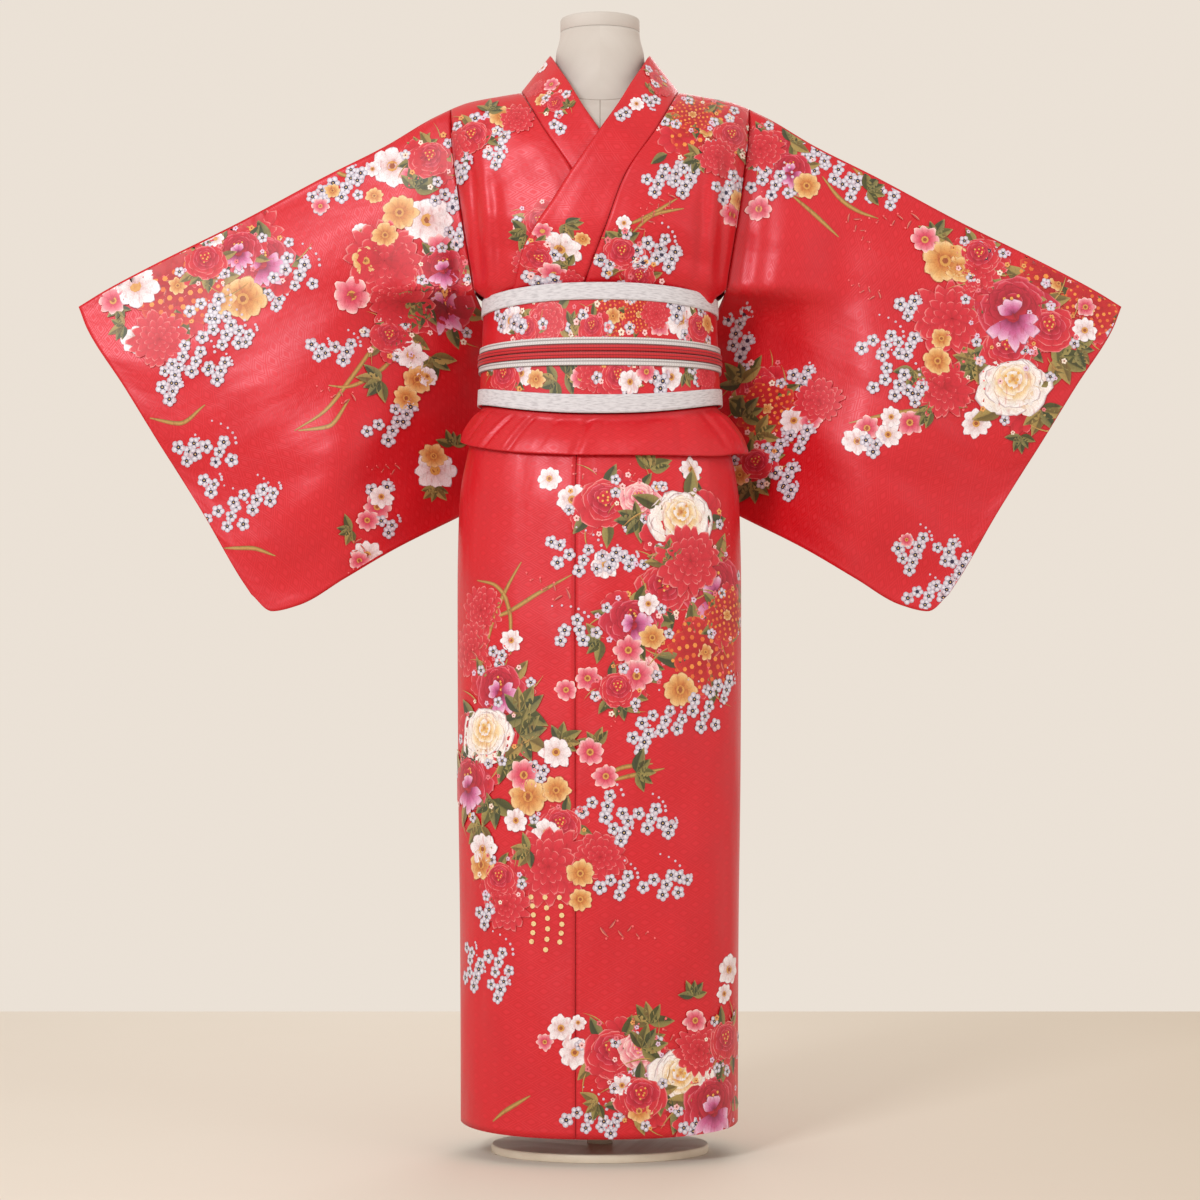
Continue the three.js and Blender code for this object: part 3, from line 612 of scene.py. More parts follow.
# ---- Sash, tuck, form and stand ------------------------------------------------------------------
SASH_SIZE = dict(side=148.0, spread=3.5, front=106.5, back=103.0)
Band = namedtuple("Band", "name top top_rise foot foot_rise out thick")
SASH = Band("sash", 1057.5, 11, 928, -17.5, 0, 3.2)
TRIMS = [
    Band("sash_edge_upper", 1058, 11, 1038, 10, 2.5, 2.2),
    Band("cord_edge_upper", 998, 4, 990.8, 3, 2.7, 2.4),
    Band("cord_rib_upper", 990.4, 3, 983, 2, 4.5, 4.2),
    Band("cord_rib_lower", 982.6, 2, 975.2, 1, 4.5, 4.2),
    Band("cord_edge_lower", 974.8, 1, 967.5, 0, 2.7, 2.4),
    Band("sash_edge_lower", 947, -15, 927.5, -18, 2.5, 2.2),
]
TUCK_CLOTH = 2.4
TUCK_PROFILE = Table(
    "up out",
    [
        (0, 0.7), (0.02, 0.97), (0.1, 1.02), (0.35, 1),
        (0.55, 0.86), (0.72, 0.65), (0.9, 0.42), (1.0, 0.3),
    ],
).curve("up", "out")


def front_share(degrees):
    """One at the front middle, nought from the sides back."""
    return np.maximum(0, np.cos(np.radians(degrees))) ** 2


def sash_place(degrees, z, out):
    turn = np.radians(degrees)
    sine, cosine = np.sin(turn), np.cos(turn)
    side = SASH_SIZE["side"] + SASH_SIZE["spread"] * (1000 - z) / 80 + out
    deep = np.where(cosine > 0, SASH_SIZE["front"], SASH_SIZE["back"]) + out
    x, y = side * bulge(sine, SKIRT_ROUND), -deep * bulge(cosine, SKIRT_ROUND)
    return np.stack([x, y, z + 0 * side], axis=-1)


def band_surface(band):
    """Places on a band of the sash, from the angle and the share up from its foot."""

    def place(degrees, up, out=0.0):
        degrees, up = np.broadcast_arrays(np.asarray(degrees, float), np.asarray(up, float))
        foot = band.foot + band.foot_rise * front_share(degrees)
        top = band.top + band.top_rise * front_share(degrees)
        return sash_place(degrees, mix(foot, top, up), band.out + out)

    return place


def tuck_surface(table):
    """Places on the tuck, from the angle and the share up from its lower fold."""
    out_at, low_at = table.curve("angle", "out"), table.curve("angle", "low")

    def place(degrees, up):
        degrees, up = np.broadcast_arrays(np.asarray(degrees, float), np.asarray(up, float))
        foot = SASH.foot + SASH.foot_rise * front_share(degrees)
        z = mix(low_at(degrees), foot - 2, up)
        swell = creases(TUCK_CREASES, degrees, 60 * up) * (1 - smooth(0.8, 1.0, up))
        out = 3.6 + out_at(degrees) * TUCK_PROFILE(up) + swell
        on_skirt = rounded_section(SKIRT_SIZES, degrees, z, out)
        under = sash_place(degrees, z, -SASH.thick - 0.7)
        return mix(on_skirt, under, smooth(0.8, 1.0, up)[..., None])

    return place


FORM = Table(
    "z side front back",
    [
        (640, 138, 94, 96),
        (700, 158, 106, 110),
        (800, 160, 108, 112),
        (870, 150, 98, 104),
        (930, 130, 80, 84),
        (975, 124, 76, 80),
        (1030, 114, 70, 74),
    ],
)
NECK = [(1332, 59, 54), (1348, 57, 52), (1372, 55.5, 51), (1394, 50.5, 47), (1400, 50, 46.5)]
NECK_BASE = (66, 58)
NECK_BACK = 8.0
FORM_CLEAR = 7.0
CAP_SIZE = (50, 46.5)
CAP_LOW, CAP_TOP = 1400.3, 1418.0
POLE_RADIUS, POLE_LOW, POLE_TOP = 16.0, 10.3, 639.7
BASE_SIZE = (135, 95)
BASE_THICK = 10.0
CAP_PROFILE = [  # height and inset
    (CAP_LOW, 0.6), (CAP_LOW + 0.8, 0), (CAP_TOP - 3, 0), (CAP_TOP - 0.9, 0.9), (CAP_TOP, 3),
]
BASE_PROFILE = [
    (0, 0.4), (0.6, 0), (BASE_THICK - 2, 0), (BASE_THICK - 0.6, 0.6), (BASE_THICK, 2),
]
ROUND_STEPS = np.linspace(0, 360, 121)[:-1]
HIP_RINGS, CHEST_RINGS, SHOULDER_RINGS, NECK_RINGS = 40, 18, 30, 22


def form_ring(z):
    """A ring of the form just inside the body panels."""
    turn = np.radians(ROUND_STEPS)
    side = bodice["seam"](z) - FORM_CLEAR - 6
    deep = np.where(np.cos(turn) > 0, bodice["front"](z), bodice["back"](z)) - FORM_CLEAR
    x, y = side * bulge(np.sin(turn), BODY_ROUND), -deep * bulge(np.cos(turn), BODY_ROUND)
    return np.stack([x, y, 0 * x + z], axis=-1)


def form_top(x, y):
    """The form's height under the shoulders' cloth."""
    back = y > 0
    depths = [section_depth(x, SHOULDER_LOW, side) for side in ("back", "front")]
    full = np.where(back, *depths)
    power = np.where(back, 3.0, 2.0)
    share = np.clip(np.abs(y) / (full - FORM_CLEAR), 0, 1)
    rise = (ridge(x) - SHOULDER_LOW) * (1 - share**power) ** (1 / power)
    round_end = 34 * smooth(150, 178, np.abs(x)) ** 2
    return SHOULDER_LOW + rise - CLOTH - 0.5 - np.minimum(3.5, 0.012 * y * y) - round_end


def oval(side, deep, z, middle=NECK_BACK):
    turn = np.radians(ROUND_STEPS)
    return np.stack([side * np.sin(turn), middle - deep * np.cos(turn), 0 * turn + z], axis=-1)


def form_body():
    """Rings from the form's open foot over the chest and shoulders to the top of its neck."""
    rings = []
    for z in np.linspace(640, 1030, HIP_RINGS):
        level = 0 * ROUND_STEPS + z
        rings.append(rounded_section(section(FORM), ROUND_STEPS, level, 0, FORM_ROUND))
    for z in np.linspace(1056, 1195, CHEST_RINGS):
        rings.append(form_ring(z))
    edge = form_ring(SHOULDER_LOW)
    base = oval(*NECK_BASE, 0)
    for share in np.linspace(0.02, 1, SHOULDER_RINGS) ** 1.3:
        x = mix(edge[:, 0], base[:, 0], share)
        y = mix(edge[:, 1], base[:, 1], share)
        rings.append(np.stack([x, y, form_top(x, y)], axis=-1))
    neck = Table("z side deep", NECK)
    side, deep = neck.curve("z", "side"), neck.curve("z", "deep")
    for z in np.linspace(1332, 1400, NECK_RINGS):
        rings.append(oval(float(side(z)), float(deep(z)), z))
    return np.array(rings)


# ---- Meshes --------------------------------------------------------------------------------------
def grid_faces(rows, columns, start=0, closed=False, flip=False):
    faces = []
    last = columns if closed else columns - 1
    for i in range(rows - 1):
        for j in range(last):
            k = (j + 1) % columns
            face = (i * columns + j, i * columns + k, (i + 1) * columns + k, (i + 1) * columns + j)
            face = tuple(start + v for v in face)
            faces.append(face[::-1] if flip else face)
    return faces


def grid_normals(grid, closed=False):
    down = np.gradient(grid, axis=0)
    if closed:
        along = (np.roll(grid, -1, axis=1) - np.roll(grid, 1, axis=1)) / 2
    else:
        along = np.gradient(grid, axis=1)
    normal = np.cross(along, down)
    return normal / np.maximum(1e-9, np.linalg.norm(normal, axis=2, keepdims=True))


def grid_lengths(grid):
    """Metres along each row and down each column, as texture places."""
    across = np.linalg.norm(np.diff(grid, axis=1), axis=2)
    down = np.linalg.norm(np.diff(grid, axis=0), axis=2)
    u = np.concatenate([np.zeros((grid.shape[0], 1)), np.cumsum(across, axis=1)], axis=1)
    u = u - u[:, u.shape[1] // 2 : u.shape[1] // 2 + 1]
    v = np.concatenate([np.zeros((1, grid.shape[1])), np.cumsum(down, axis=0)], axis=0)
    return np.stack([u, v], axis=-1) * MM


def wrap_places(corner_places, corners, faces, rows, columns, girth):
    """On the faces that close a ring, the first column's corners lie one whole girth further on."""
    column, row = corners % columns, (corners // columns) % rows
    owner = np.repeat(np.arange(len(faces)), [len(f) for f in faces])
    closes = np.zeros(len(faces), bool)
    np.logical_or.at(closes, owner, column == columns - 1)
    first = np.zeros(len(faces), bool)
    np.logical_or.at(first, owner, column == 0)
    move = (closes & first)[owner] & (column == 0)
    corner_places[move, 0] += girth[row[move]]
    return corner_places


def make_object(name, points, faces, places=None, material=None, flat_from=None, wrap=None):
    mesh = bpy.data.meshes.new(name)
    mesh.from_pydata((np.asarray(points) * MM).tolist(), [], faces)
    mesh.polygons.foreach_set("use_smooth", [True] * len(mesh.polygons))
    if flat_from is not None:
        for polygon in mesh.polygons[flat_from:]:
            polygon.use_smooth = False
    if places is not None:
        layer = mesh.uv_layers.new(name="cloth")
        corners = np.empty(len(mesh.loops), dtype=np.int32)
        mesh.loops.foreach_get("vertex_index", corners)
        corner_places = np.asarray(places, np.float32)[corners]
        if wrap is not None:
            corner_places = wrap_places(corner_places, corners, faces, *wrap)
        layer.data.foreach_set("uv", corner_places.ravel())
    mesh.validate()
    mesh.update()
    obj = bpy.data.objects.new(name, mesh)
    bpy.context.collection.objects.link(obj)
    if material:
        mesh.materials.append(material)
    return obj


def ring_girth(grid):
    """Metres round each closed row."""
    return np.linalg.norm(np.roll(grid, -1, axis=1) - grid, axis=2).sum(axis=1) * MM


def shell(name, grid, thick, material, closed=False, outward=1, inner=None):
    """A closed wall of cloth: the grid is its outer face, the inner face lies thick inside."""
    grid = np.asarray(grid, float)
    rows, columns = grid.shape[:2]
    normal = grid_normals(grid, closed) * outward
    if inner is None:
        inner = grid - normal * thick
    points = np.concatenate([grid.reshape(-1, 3), inner.reshape(-1, 3)])
    count = rows * columns
    flip = outward < 0
    faces = grid_faces(rows, columns, 0, closed, flip)
    faces += grid_faces(rows, columns, count, closed, not flip)
    smooth_count = len(faces)
    edge = []
    last = columns if closed else columns - 1
    for j in range(last):
        k = (j + 1) % columns
        edge.append((k, j, count + j, count + k))
        low = (rows - 1) * columns
        edge.append((low + j, low + k, count + low + k, count + low + j))
    if not closed:
        for i in range(rows - 1):
            a, b = i * columns, (i + 1) * columns
            edge.append((a, b, count + b, count + a))
            a, b = a + columns - 1, b + columns - 1
            edge.append((b, a, count + a, count + b))
    faces += [f[::-1] for f in edge] if flip else edge
    places = np.tile(grid_lengths(grid).reshape(-1, 2), (2, 1))
    wrap = (rows, columns, ring_girth(grid)) if closed else None
    return make_object(name, points, faces, places, material, smooth_count, wrap)


def loft(name, rings, material):
    rings = np.asarray(rings, float)
    rows, columns = rings.shape[:2]
    faces = grid_faces(rows, columns, 0, True)
    faces.append(tuple(range(columns))[::-1])
    faces.append(tuple((rows - 1) * columns + k for k in range(columns)))
    places = grid_lengths(rings).reshape(-1, 2)
    wrap = (rows, columns, ring_girth(rings))
    return make_object(name, rings.reshape(-1, 3), faces, places, material, len(faces) - 2, wrap)


# ---- Materials -----------------------------------------------------------------------------------
def srgb(red, green, blue):
    """A linear colour from screen values between 0 and 255."""

    def linear(value):
        value = value / 255
        return value / 12.92 if value <= 0.04045 else ((value + 0.055) / 1.055) ** 2.4

    return (linear(red), linear(green), linear(blue), 1.0)


COLOUR_A, COLOUR_B, COLOUR_OUT = 6, 7, 2  # a Mix node's colour sockets by number


class Paint:
    """A Principled material with short words for its nodes.

    Noise scales and stripe counts are for each metre of cloth, bump depths are millimetres.
    """

    def __init__(self, name, roughness, **sockets):
        self.material = bpy.data.materials.new(name)
        self.material.use_nodes = True
        self.tree = self.material.node_tree
        self.shader = self.tree.nodes["Principled BSDF"]
        self.shader.inputs["Roughness"].default_value = roughness
        for socket, value in sockets.items():
            self.shader.inputs[socket.replace("_", " ")].default_value = value
        uv = self.tree.nodes.new("ShaderNodeUVMap")
        uv.uv_map = "cloth"
        self.uv = uv.outputs[0]
        split = self.tree.nodes.new("ShaderNodeSeparateXYZ")
        self.link(self.uv, split.inputs[0])
        self.u, self.v = split.outputs[0], split.outputs[1]

    def link(self, source, socket):
        self.tree.links.new(source, socket)

    def put(self, value, socket):
        if isinstance(value, bpy.types.NodeSocket):
            self.link(value, socket)
        else:
            socket.default_value = value

    def math(self, operation, a, b=None, c=None):
        node = self.tree.nodes.new("ShaderNodeMath")
        node.operation = operation
        for value, socket in zip((a, b, c), node.inputs):
            if value is not None:
                self.put(value, socket)
        return node.outputs[0]

    def noise(self, scale, detail=2.0, places=None, stretch=(1, 1, 1)):
        mapping = self.tree.nodes.new("ShaderNodeMapping")
        mapping.inputs["Scale"].default_value = stretch
        self.link(places or self.uv, mapping.inputs["Vector"])
        node = self.tree.nodes.new("ShaderNodeTexNoise")
        node.inputs["Scale"].default_value = scale
        node.inputs["Detail"].default_value = detail
        self.link(mapping.outputs[0], node.inputs["Vector"])
        return node.outputs["Fac"]

    def range(self, value, low, high, to_low=0.0, to_high=1.0):
        node = self.tree.nodes.new("ShaderNodeMapRange")
        node.interpolation_type = "SMOOTHSTEP"
        names = ("From Min", "From Max", "To Min", "To Max")
        for name, number in zip(names, (low, high, to_low, to_high)):
            node.inputs[name].default_value = number
        self.link(value, node.inputs["Value"])
        return node.outputs[0]

    def colours(self, share, a, b):
        node = self.tree.nodes.new("ShaderNodeMix")
        node.data_type = "RGBA"
        self.put(share, node.inputs["Factor"])
        self.put(a, node.inputs[COLOUR_A])
        self.put(b, node.inputs[COLOUR_B])
        return node.outputs[COLOUR_OUT]

    def bump(self, *layers):
        """Each layer is a height and its depth in millimetres."""
        normal = None
        for height, depth in layers:
            node = self.tree.nodes.new("ShaderNodeBump")
            node.inputs["Strength"].default_value = 1.0
            node.inputs["Distance"].default_value = depth * MM
            self.link(height, node.inputs["Height"])
            if normal:
                self.link(normal, node.inputs["Normal"])
            normal = node.outputs[0]
        self.link(normal, self.shader.inputs["Normal"])

    def finish(self, colour, roughness=None):
        self.put(colour, self.shader.inputs["Base Color"])
        if roughness is not None:
            self.put(roughness, self.shader.inputs["Roughness"])
        return self.material


def tooth(paint, value):
    """A triangle wave from 0 to 1 over each whole number."""
    part = paint.math("FRACT", value)
    return paint.math("ABSOLUTE", paint.math("MULTIPLY_ADD", part, 2.0, -1.0))


LATTICE_ACROSS, LATTICE_DOWN = 31.0, 54.0  # waves for each metre of cloth


def satin():
    """Red satin with a tone-on-tone lattice: nested lozenges, wider than they are tall."""
    p = Paint("red_satin", 0.42, Sheen_Weight=0.05, Sheen_Roughness=0.4, Specular_IOR_Level=1.0)
    p.shader.inputs["Sheen Tint"].default_value = srgb(255, 150, 150)
    p.shader.inputs["Specular Tint"].default_value = srgb(255, 196, 206)
    across = p.math("MULTIPLY", p.u, LATTICE_ACROSS)
    down = p.math("MULTIPLY", p.v, LATTICE_DOWN)
    first = tooth(p, p.math("ADD", across, down))
    second = tooth(p, p.math("SUBTRACT", across, down))
    core = p.math("MAXIMUM", first, second)
    outline = p.range(core, 0.9, 0.95)
    middle = p.math("MULTIPLY", p.range(core, 0.6, 0.64), p.range(core, 0.7, 0.74, 1, 0))
    heart = p.range(core, 0.3, 0.36, 1, 0)
    lattice = p.math("MAXIMUM", outline, p.math("MAXIMUM", middle, heart))
    cloudy = p.noise(14.0, 3.0)
    shade = p.colours(p.math("MULTIPLY", lattice, 0.4), srgb(200, 4, 17), srgb(224, 34, 46))
    shade = p.colours(p.range(cloudy, 0.35, 0.75, 0.0, 0.3), shade, srgb(180, 10, 26))
    weave = p.noise(900.0, 1.0, stretch=(1, 2.4, 1))
    swell = p.noise(8.0, 1.0, stretch=(1.5, 0.7, 1))
    folds = p.noise(30.0, 2.0, stretch=(1.5, 0.6, 1))
    p.bump((swell, 12.0), (folds, 1.0), (lattice, 0.05), (weave, 0.04))
    return p.finish(shade, p.math("MULTIPLY_ADD", lattice, 0.1, 0.39))


def crepe(name, colour, deep):
    """White crepe with fine long fibres."""
    p = Paint(name, 0.82, Sheen_Weight=0.25, Sheen_Roughness=0.5)
    fibre = p.noise(420.0, 3.0, stretch=(0.25, 1.6, 1))
    soft = p.noise(60.0, 2.0)
    shade = p.colours(p.range(fibre, 0.4, 0.7, 0.0, 0.8), colour, deep)
    p.bump((fibre, 0.35), (soft, 0.5))
    return p.finish(shade)


STRANDS = 300.0


def braid(name, colour, deep, ribs):
    """Silk braid: ribs that run its whole length, each of fine slanted strands, with painted shade
    in the grooves.
    """
    p = Paint(name, 0.5, Sheen_Weight=0.2, Sheen_Roughness=0.4)
    along = p.math("MULTIPLY", p.u, STRANDS)
    rib = tooth(p, p.math("MULTIPLY", p.v, ribs))
    slant = tooth(p, p.math("MULTIPLY_ADD", rib, 0.5, along))
    # Painted shade: the deep colour darkens the grooves between the ribs, and more lightly the dips
    # between the slanted strands.
    shaded_groove = p.range(rib, 0.62, 0.96)
    strand_shade = p.math("MULTIPLY", p.range(slant, 0.3, 0.9), 0.45)
    shade = p.colours(p.math("MAXIMUM", shaded_groove, strand_shade), colour, deep)
    p.bump((shaded_groove, -0.7), (slant, -0.3))
    return p.finish(shade)


def form_cover():
    """Off-white knit drawn tight over the form."""
    p = Paint("form_cover", 0.8, Sheen_Weight=0.1)
    knit = p.noise(1100.0, 1.0, stretch=(1, 0.6, 1))
    cloudy = p.noise(18.0, 3.0)
    shade = p.colours(p.range(cloudy, 0.3, 0.7, 0.0, 0.5), srgb(203, 195, 188), srgb(192, 183, 175))
    p.bump((knit, 0.08), (cloudy, 0.3))
    return p.finish(shade)


def seam_thread():
    p = Paint("form_seam", 0.85)
    twist = p.noise(900.0, 1.0)
    return p.finish(p.colours(twist, srgb(150, 140, 130), srgb(168, 158, 148)))


def stand_paint():
    p = Paint("stand_paint", 0.42)
    cloudy = p.noise(30.0, 4.0)
    shade = p.colours(p.range(cloudy, 0.3, 0.7), srgb(228, 216, 198), srgb(218, 204, 184))
    p.bump((p.noise(500.0, 2.0), 0.03))
    return p.finish(shade, p.range(cloudy, 0.3, 0.7, 0.38, 0.5))


SATIN = satin()
WHITE_CREPE = crepe("white_crepe", srgb(213, 209, 213), srgb(178, 173, 178))
RED_BRAID = braid("red_braid", srgb(206, 24, 34), srgb(128, 8, 18), 250.0)
WHITE_BRAID = braid("white_braid", srgb(216, 211, 210), srgb(164, 154, 156), 200.0)
FORM_COVER = form_cover()
FORM_SEAM = seam_thread()
STAND_PAINT = stand_paint()


# ---- Pieces --------------------------------------------------------------------------------------
def cloth_piece(obj, nodes, slot):
    """Hang a sheet of cloth on the root and hide the model's nodes that it replaces."""
    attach(obj, "root")
    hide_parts(*nodes)


def plain_piece(obj, nodes):
    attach(obj, "root")
    if nodes:
        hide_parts(*nodes)


SIDES = {"left": 1, "right": -1}


def angles(low, high, step=1.6):
    """Even steps of about so many degrees."""
    return np.linspace(low, high, max(2, int(round((high - low) / step)) + 1))


def skirt_panel(name, low, high, lifted, nodes):
    place = skirt_surface(lifted)
    around = angles(low, high)
    share = np.linspace(0, 1, 116)[:, None]
    z = mix(hem_height(around)[None, :], SKIRT_TOP, share)
    grid = place(around[None, :], z)
    panel = shell(name, grid, CLOTH, SATIN, outward=1)
    cloth_piece(panel, nodes, "kimono_satin")


def build_bodice():
    for word, side in SIDES.items():
        panel = shell(f"bodice_{word}", body_panel(side), CLOTH, SATIN, outward=side)
        cloth_piece(panel, [f"body_{word}"], "kimono_satin")
        steps_along = np.linspace(0, COLLAR_STEPS, 170)
        across = np.linspace(0, 1, 16)
        grid = collar_band(side)(steps_along[:, None], across[None, :])
        band = shell(f"collar_{word}_cloth", grid, COLLAR_CLOTH, SATIN, outward=-side)
        cloth_piece(band, [f"collar_{word}"], "kimono_satin")


def build_sleeves():
    along = np.linspace(0, 1, 112)
    down = (1 - np.cos(np.linspace(0, math.pi, 78))) / 2
    down = mix(down, np.linspace(0, 1, 78), 0.7)
    for word, side in SIDES.items():
        front, back = sleeve_layer(side, -1), sleeve_layer(side, 1)
        rows_s, rows_t = along[:, None], down[None, :]

        def ring(inset):
            near = front(rows_s, rows_t, inset)
            far = back(rows_s, rows_t[:, ::-1], inset)
            return np.concatenate([near, far], axis=1)

        sleeve = shell(f"sleeve_{word}", ring(0), SLEEVE_CLOTH, SATIN, closed=True,
                       outward=side, inner=ring(SLEEVE_CLOTH))
        nodes = [f"sleeve_{word}_front", f"sleeve_{word}_back"]
        cloth_piece(sleeve, nodes, "kimono_satin")


def build_skirt():
    skirt_panel("skirt_back_left_cloth", 95, 179.8, False, ["skirt_back_left"])
    skirt_panel("skirt_back_right_cloth", 180.2, 265, False, ["skirt_back_right"])
    skirt_panel("skirt_front_left_cloth", -7, 94.6, True, ["skirt_front_left"])
    skirt_panel("overlap_left_cloth", -82, -7.2, True, ["overlap_left"])
    skirt_panel("skirt_front_right_cloth", -94.6, -0.2, False, ["skirt_front_right"])
    skirt_panel("overlap_right_cloth", 0.2, 58, False, ["overlap_right"])


def build_tuck():
    ups = np.concatenate([np.linspace(0, 0.1, 6), np.linspace(0.13, 1, 22)])[:, None]
    for word, table in (("front", TUCK), ("back", TUCK_BACK)):
        ends = table.columns["angle"]
        around = angles(ends[0], ends[-1], 1.1)[None, :]
        grid = tuck_surface(table)(around, ups)
        fold = shell(f"tuck_{word}_cloth", grid, TUCK_CLOTH, SATIN, outward=1)
        cloth_piece(fold, [f"tuck_{word}"], "kimono_satin")


ROUND_SASH = np.linspace(180, 540, 193)[:-1][None, :]
RIB_RISE = 1.2


def build_trim(band):
    """A woven edge or a cord's rib, whose back is rounded."""
    rows = np.linspace(0, 1, 9)[:, None]
    slot, material, rounding = "white_trim", WHITE_CREPE, 0.0
    if "cord" in band.name:
        material = WHITE_BRAID
    if "rib" in band.name:
        slot, material = "red_braid", RED_BRAID
        rounding = RIB_RISE * np.sqrt(np.clip(1 - (2 * rows - 1) ** 2, 0, 1)) - RIB_RISE
    grid = band_surface(band)(ROUND_SASH, rows, rounding)
    trim = shell(f"{band.name}_cloth", grid, band.thick - 0.1, material, closed=True)
    cloth_piece(trim, [band.name], slot)


def build_sash():
    rows = np.linspace(0, 1, 16)[:, None]
    grid = band_surface(SASH)(ROUND_SASH, rows)
    belt = shell("sash_belt", grid, SASH.thick, SATIN, closed=True)
    cloth_piece(belt, ["sash"], "sash_cloth")
    for band in TRIMS:
        build_trim(band)


def thread(name, line, radius, material):
    """A fine sewn line along the given points."""
    line = np.asarray(line, float)
    ahead = np.gradient(line, axis=0)
    ahead /= np.linalg.norm(ahead, axis=1, keepdims=True)
    side = np.cross(ahead, (0.31, 0.87, 0.38))
    side /= np.linalg.norm(side, axis=1, keepdims=True)
    other = np.cross(ahead, side)
    turn = np.linspace(0, 2 * math.pi, 6, endpoint=False)[None, :, None]
    circle = np.cos(turn) * side[:, None] + np.sin(turn) * other[:, None]
    return loft(name, line[:, None] + radius * circle, material)


def form_seams(rings):
    """The cover's seams: round the root of the neck, and down the middle, front and back."""
    root = rings[-NECK_RINGS - 1]
    chest = slice(HIP_RINGS + 4, -NECK_RINGS)
    neck_seam = thread("form_neck_seam", np.vstack([root, root[:1]]), 0.55, FORM_SEAM)
    front = thread("form_front_seam", rings[chest, 0], 0.5, FORM_SEAM)
    back = thread("form_back_seam", rings[chest, len(ROUND_STEPS) // 2], 0.5, FORM_SEAM)
    for seam in (neck_seam, front, back):
        plain_piece(seam, [])


def build_form():
    rings = form_body()
    body = loft("form_body", rings, FORM_COVER)
    plain_piece(body, ["form_torso"])
    form_seams(rings)
    cap = [oval(CAP_SIZE[0] - inset, CAP_SIZE[1] - inset, z) for z, inset in CAP_PROFILE]
    plain_piece(loft("form_cap", cap, FORM_COVER), ["form_neck_cap"])
    pole = [oval(POLE_RADIUS, POLE_RADIUS, z, 0) for z in np.linspace(POLE_LOW, POLE_TOP, 30)]
    plain_piece(loft("pole", pole, STAND_PAINT), ["stand_pole"])
    plate = [oval(BASE_SIZE[0] - inset, BASE_SIZE[1] - inset, z, 0) for z, inset in BASE_PROFILE]
    plain_piece(loft("base", plate, STAND_PAINT), ["stand_base"])


build_form()
build_bodice()
build_sleeves()
build_skirt()
build_tuck()
build_sash()


# ---- Printed flowers -----------------------------------------------------------------------------
TOP_LEVEL = 5
LEVEL_STEP = 0.26  # millimetres between motifs that lie over each other
PAINT_STEP = 0.42  # share of a motif's own layers
PRINT_LIFT = 0.16  # millimetres from the cloth to the lowest motif


class Print:
    """Flat motifs gathered in millimetres, later laid on the cloth as one thin skin."""

    def __init__(self, seed):
        self.random = np.random.default_rng(seed)
        self.points, self.faces, self.colours, self.heights = [], [], [], []
        self.count = 0
        self.placed = []
        self.base = 0.0

    def start_motif(self, x, y, reach):
        """A motif lies one step higher than the ones already under it."""
        under = [
            level
            for px, py, far, level in self.placed
            if math.hypot(px - x, py - y) < far + reach
        ]
        level = min(TOP_LEVEL, 1 + max(under, default=-1))
        self.placed.append((x, y, reach, level))
        self.base = LEVEL_STEP * level

    def add(self, points, faces, colours, height):
        points = np.asarray(points, float)
        self.points.append(points)
        self.faces += [tuple(self.count + i for i in face) for face in faces]
        self.colours.append(np.broadcast_to(np.asarray(colours, float), (len(points), 3)))
        self.heights.append(np.full(len(points), self.base + PAINT_STEP * height))
        self.count += len(points)


PETAL_ROWS = np.array([0.04, 0.4, 0.72, 0.93, 1.0])
PETAL_WIDTHS = np.array([0.3, 0.78, 1.0, 0.86, 0.74])
PETAL_COLUMNS = np.array([-1, -0.35, 0.35, 1])


def rgb(*values):
    return np.array(srgb(*values)[:3])


def shades(*colours):
    """A petal's colours from its base to its rim, or a choice of them."""
    return [rgb(*colour) for colour in colours]


def spot(x, y, reach, turn):
    """The place at a reach and a turn from a middle."""
    return x + reach * math.cos(turn), y + reach * math.sin(turn)


def petal(sheet, at, turn, long, wide, colours, height, ruffle=0.05):
    """One petal: colours run base, middle, upper, near edge, rim."""
    share = PETAL_ROWS[:, None]
    side = PETAL_COLUMNS[None, :]
    wave = sheet.random.uniform(0, 6.3)
    top = share * (1 - 0.16 * side**2 * share) + ruffle * share**2 * np.sin(7 * side + wave)
    x = long * top
    y = wide * PETAL_WIDTHS[:, None] * side
    cosine, sine = math.cos(turn), math.sin(turn)
    points = np.stack([at[0] + x * cosine - y * sine, at[1] + x * sine + y * cosine], axis=-1)
    shade = np.array(colours)[:, None, :] * (1 - 0.14 * np.abs(side[..., None]) ** 2)
    rows, columns = points.shape[:2]
    sheet.add(points.reshape(-1, 2), grid_faces(rows, columns), shade.reshape(-1, 3), height)


def disc(sheet, at, radius, colour, height, sides=8):
    """A flat round dot of one colour."""
    turn = np.linspace(0, 2 * math.pi, sides, endpoint=False)
    rim = np.stack([at[0] + radius * np.cos(turn), at[1] + radius * np.sin(turn)], axis=-1)
    sheet.add(rim, [tuple(range(sides))], colour, height)


PLUM_PALE = rgb(240, 238, 247)
PLUM_EDGE = mix(PLUM_PALE, rgb(82, 78, 124), 0.5)
PLUM_TINTS = np.vstack([[PLUM_PALE], np.tile(PLUM_EDGE, (8, 1))])
PLUM_FACES = [(0, 1 + i, 1 + (i + 1) % 8) for i in range(8)]


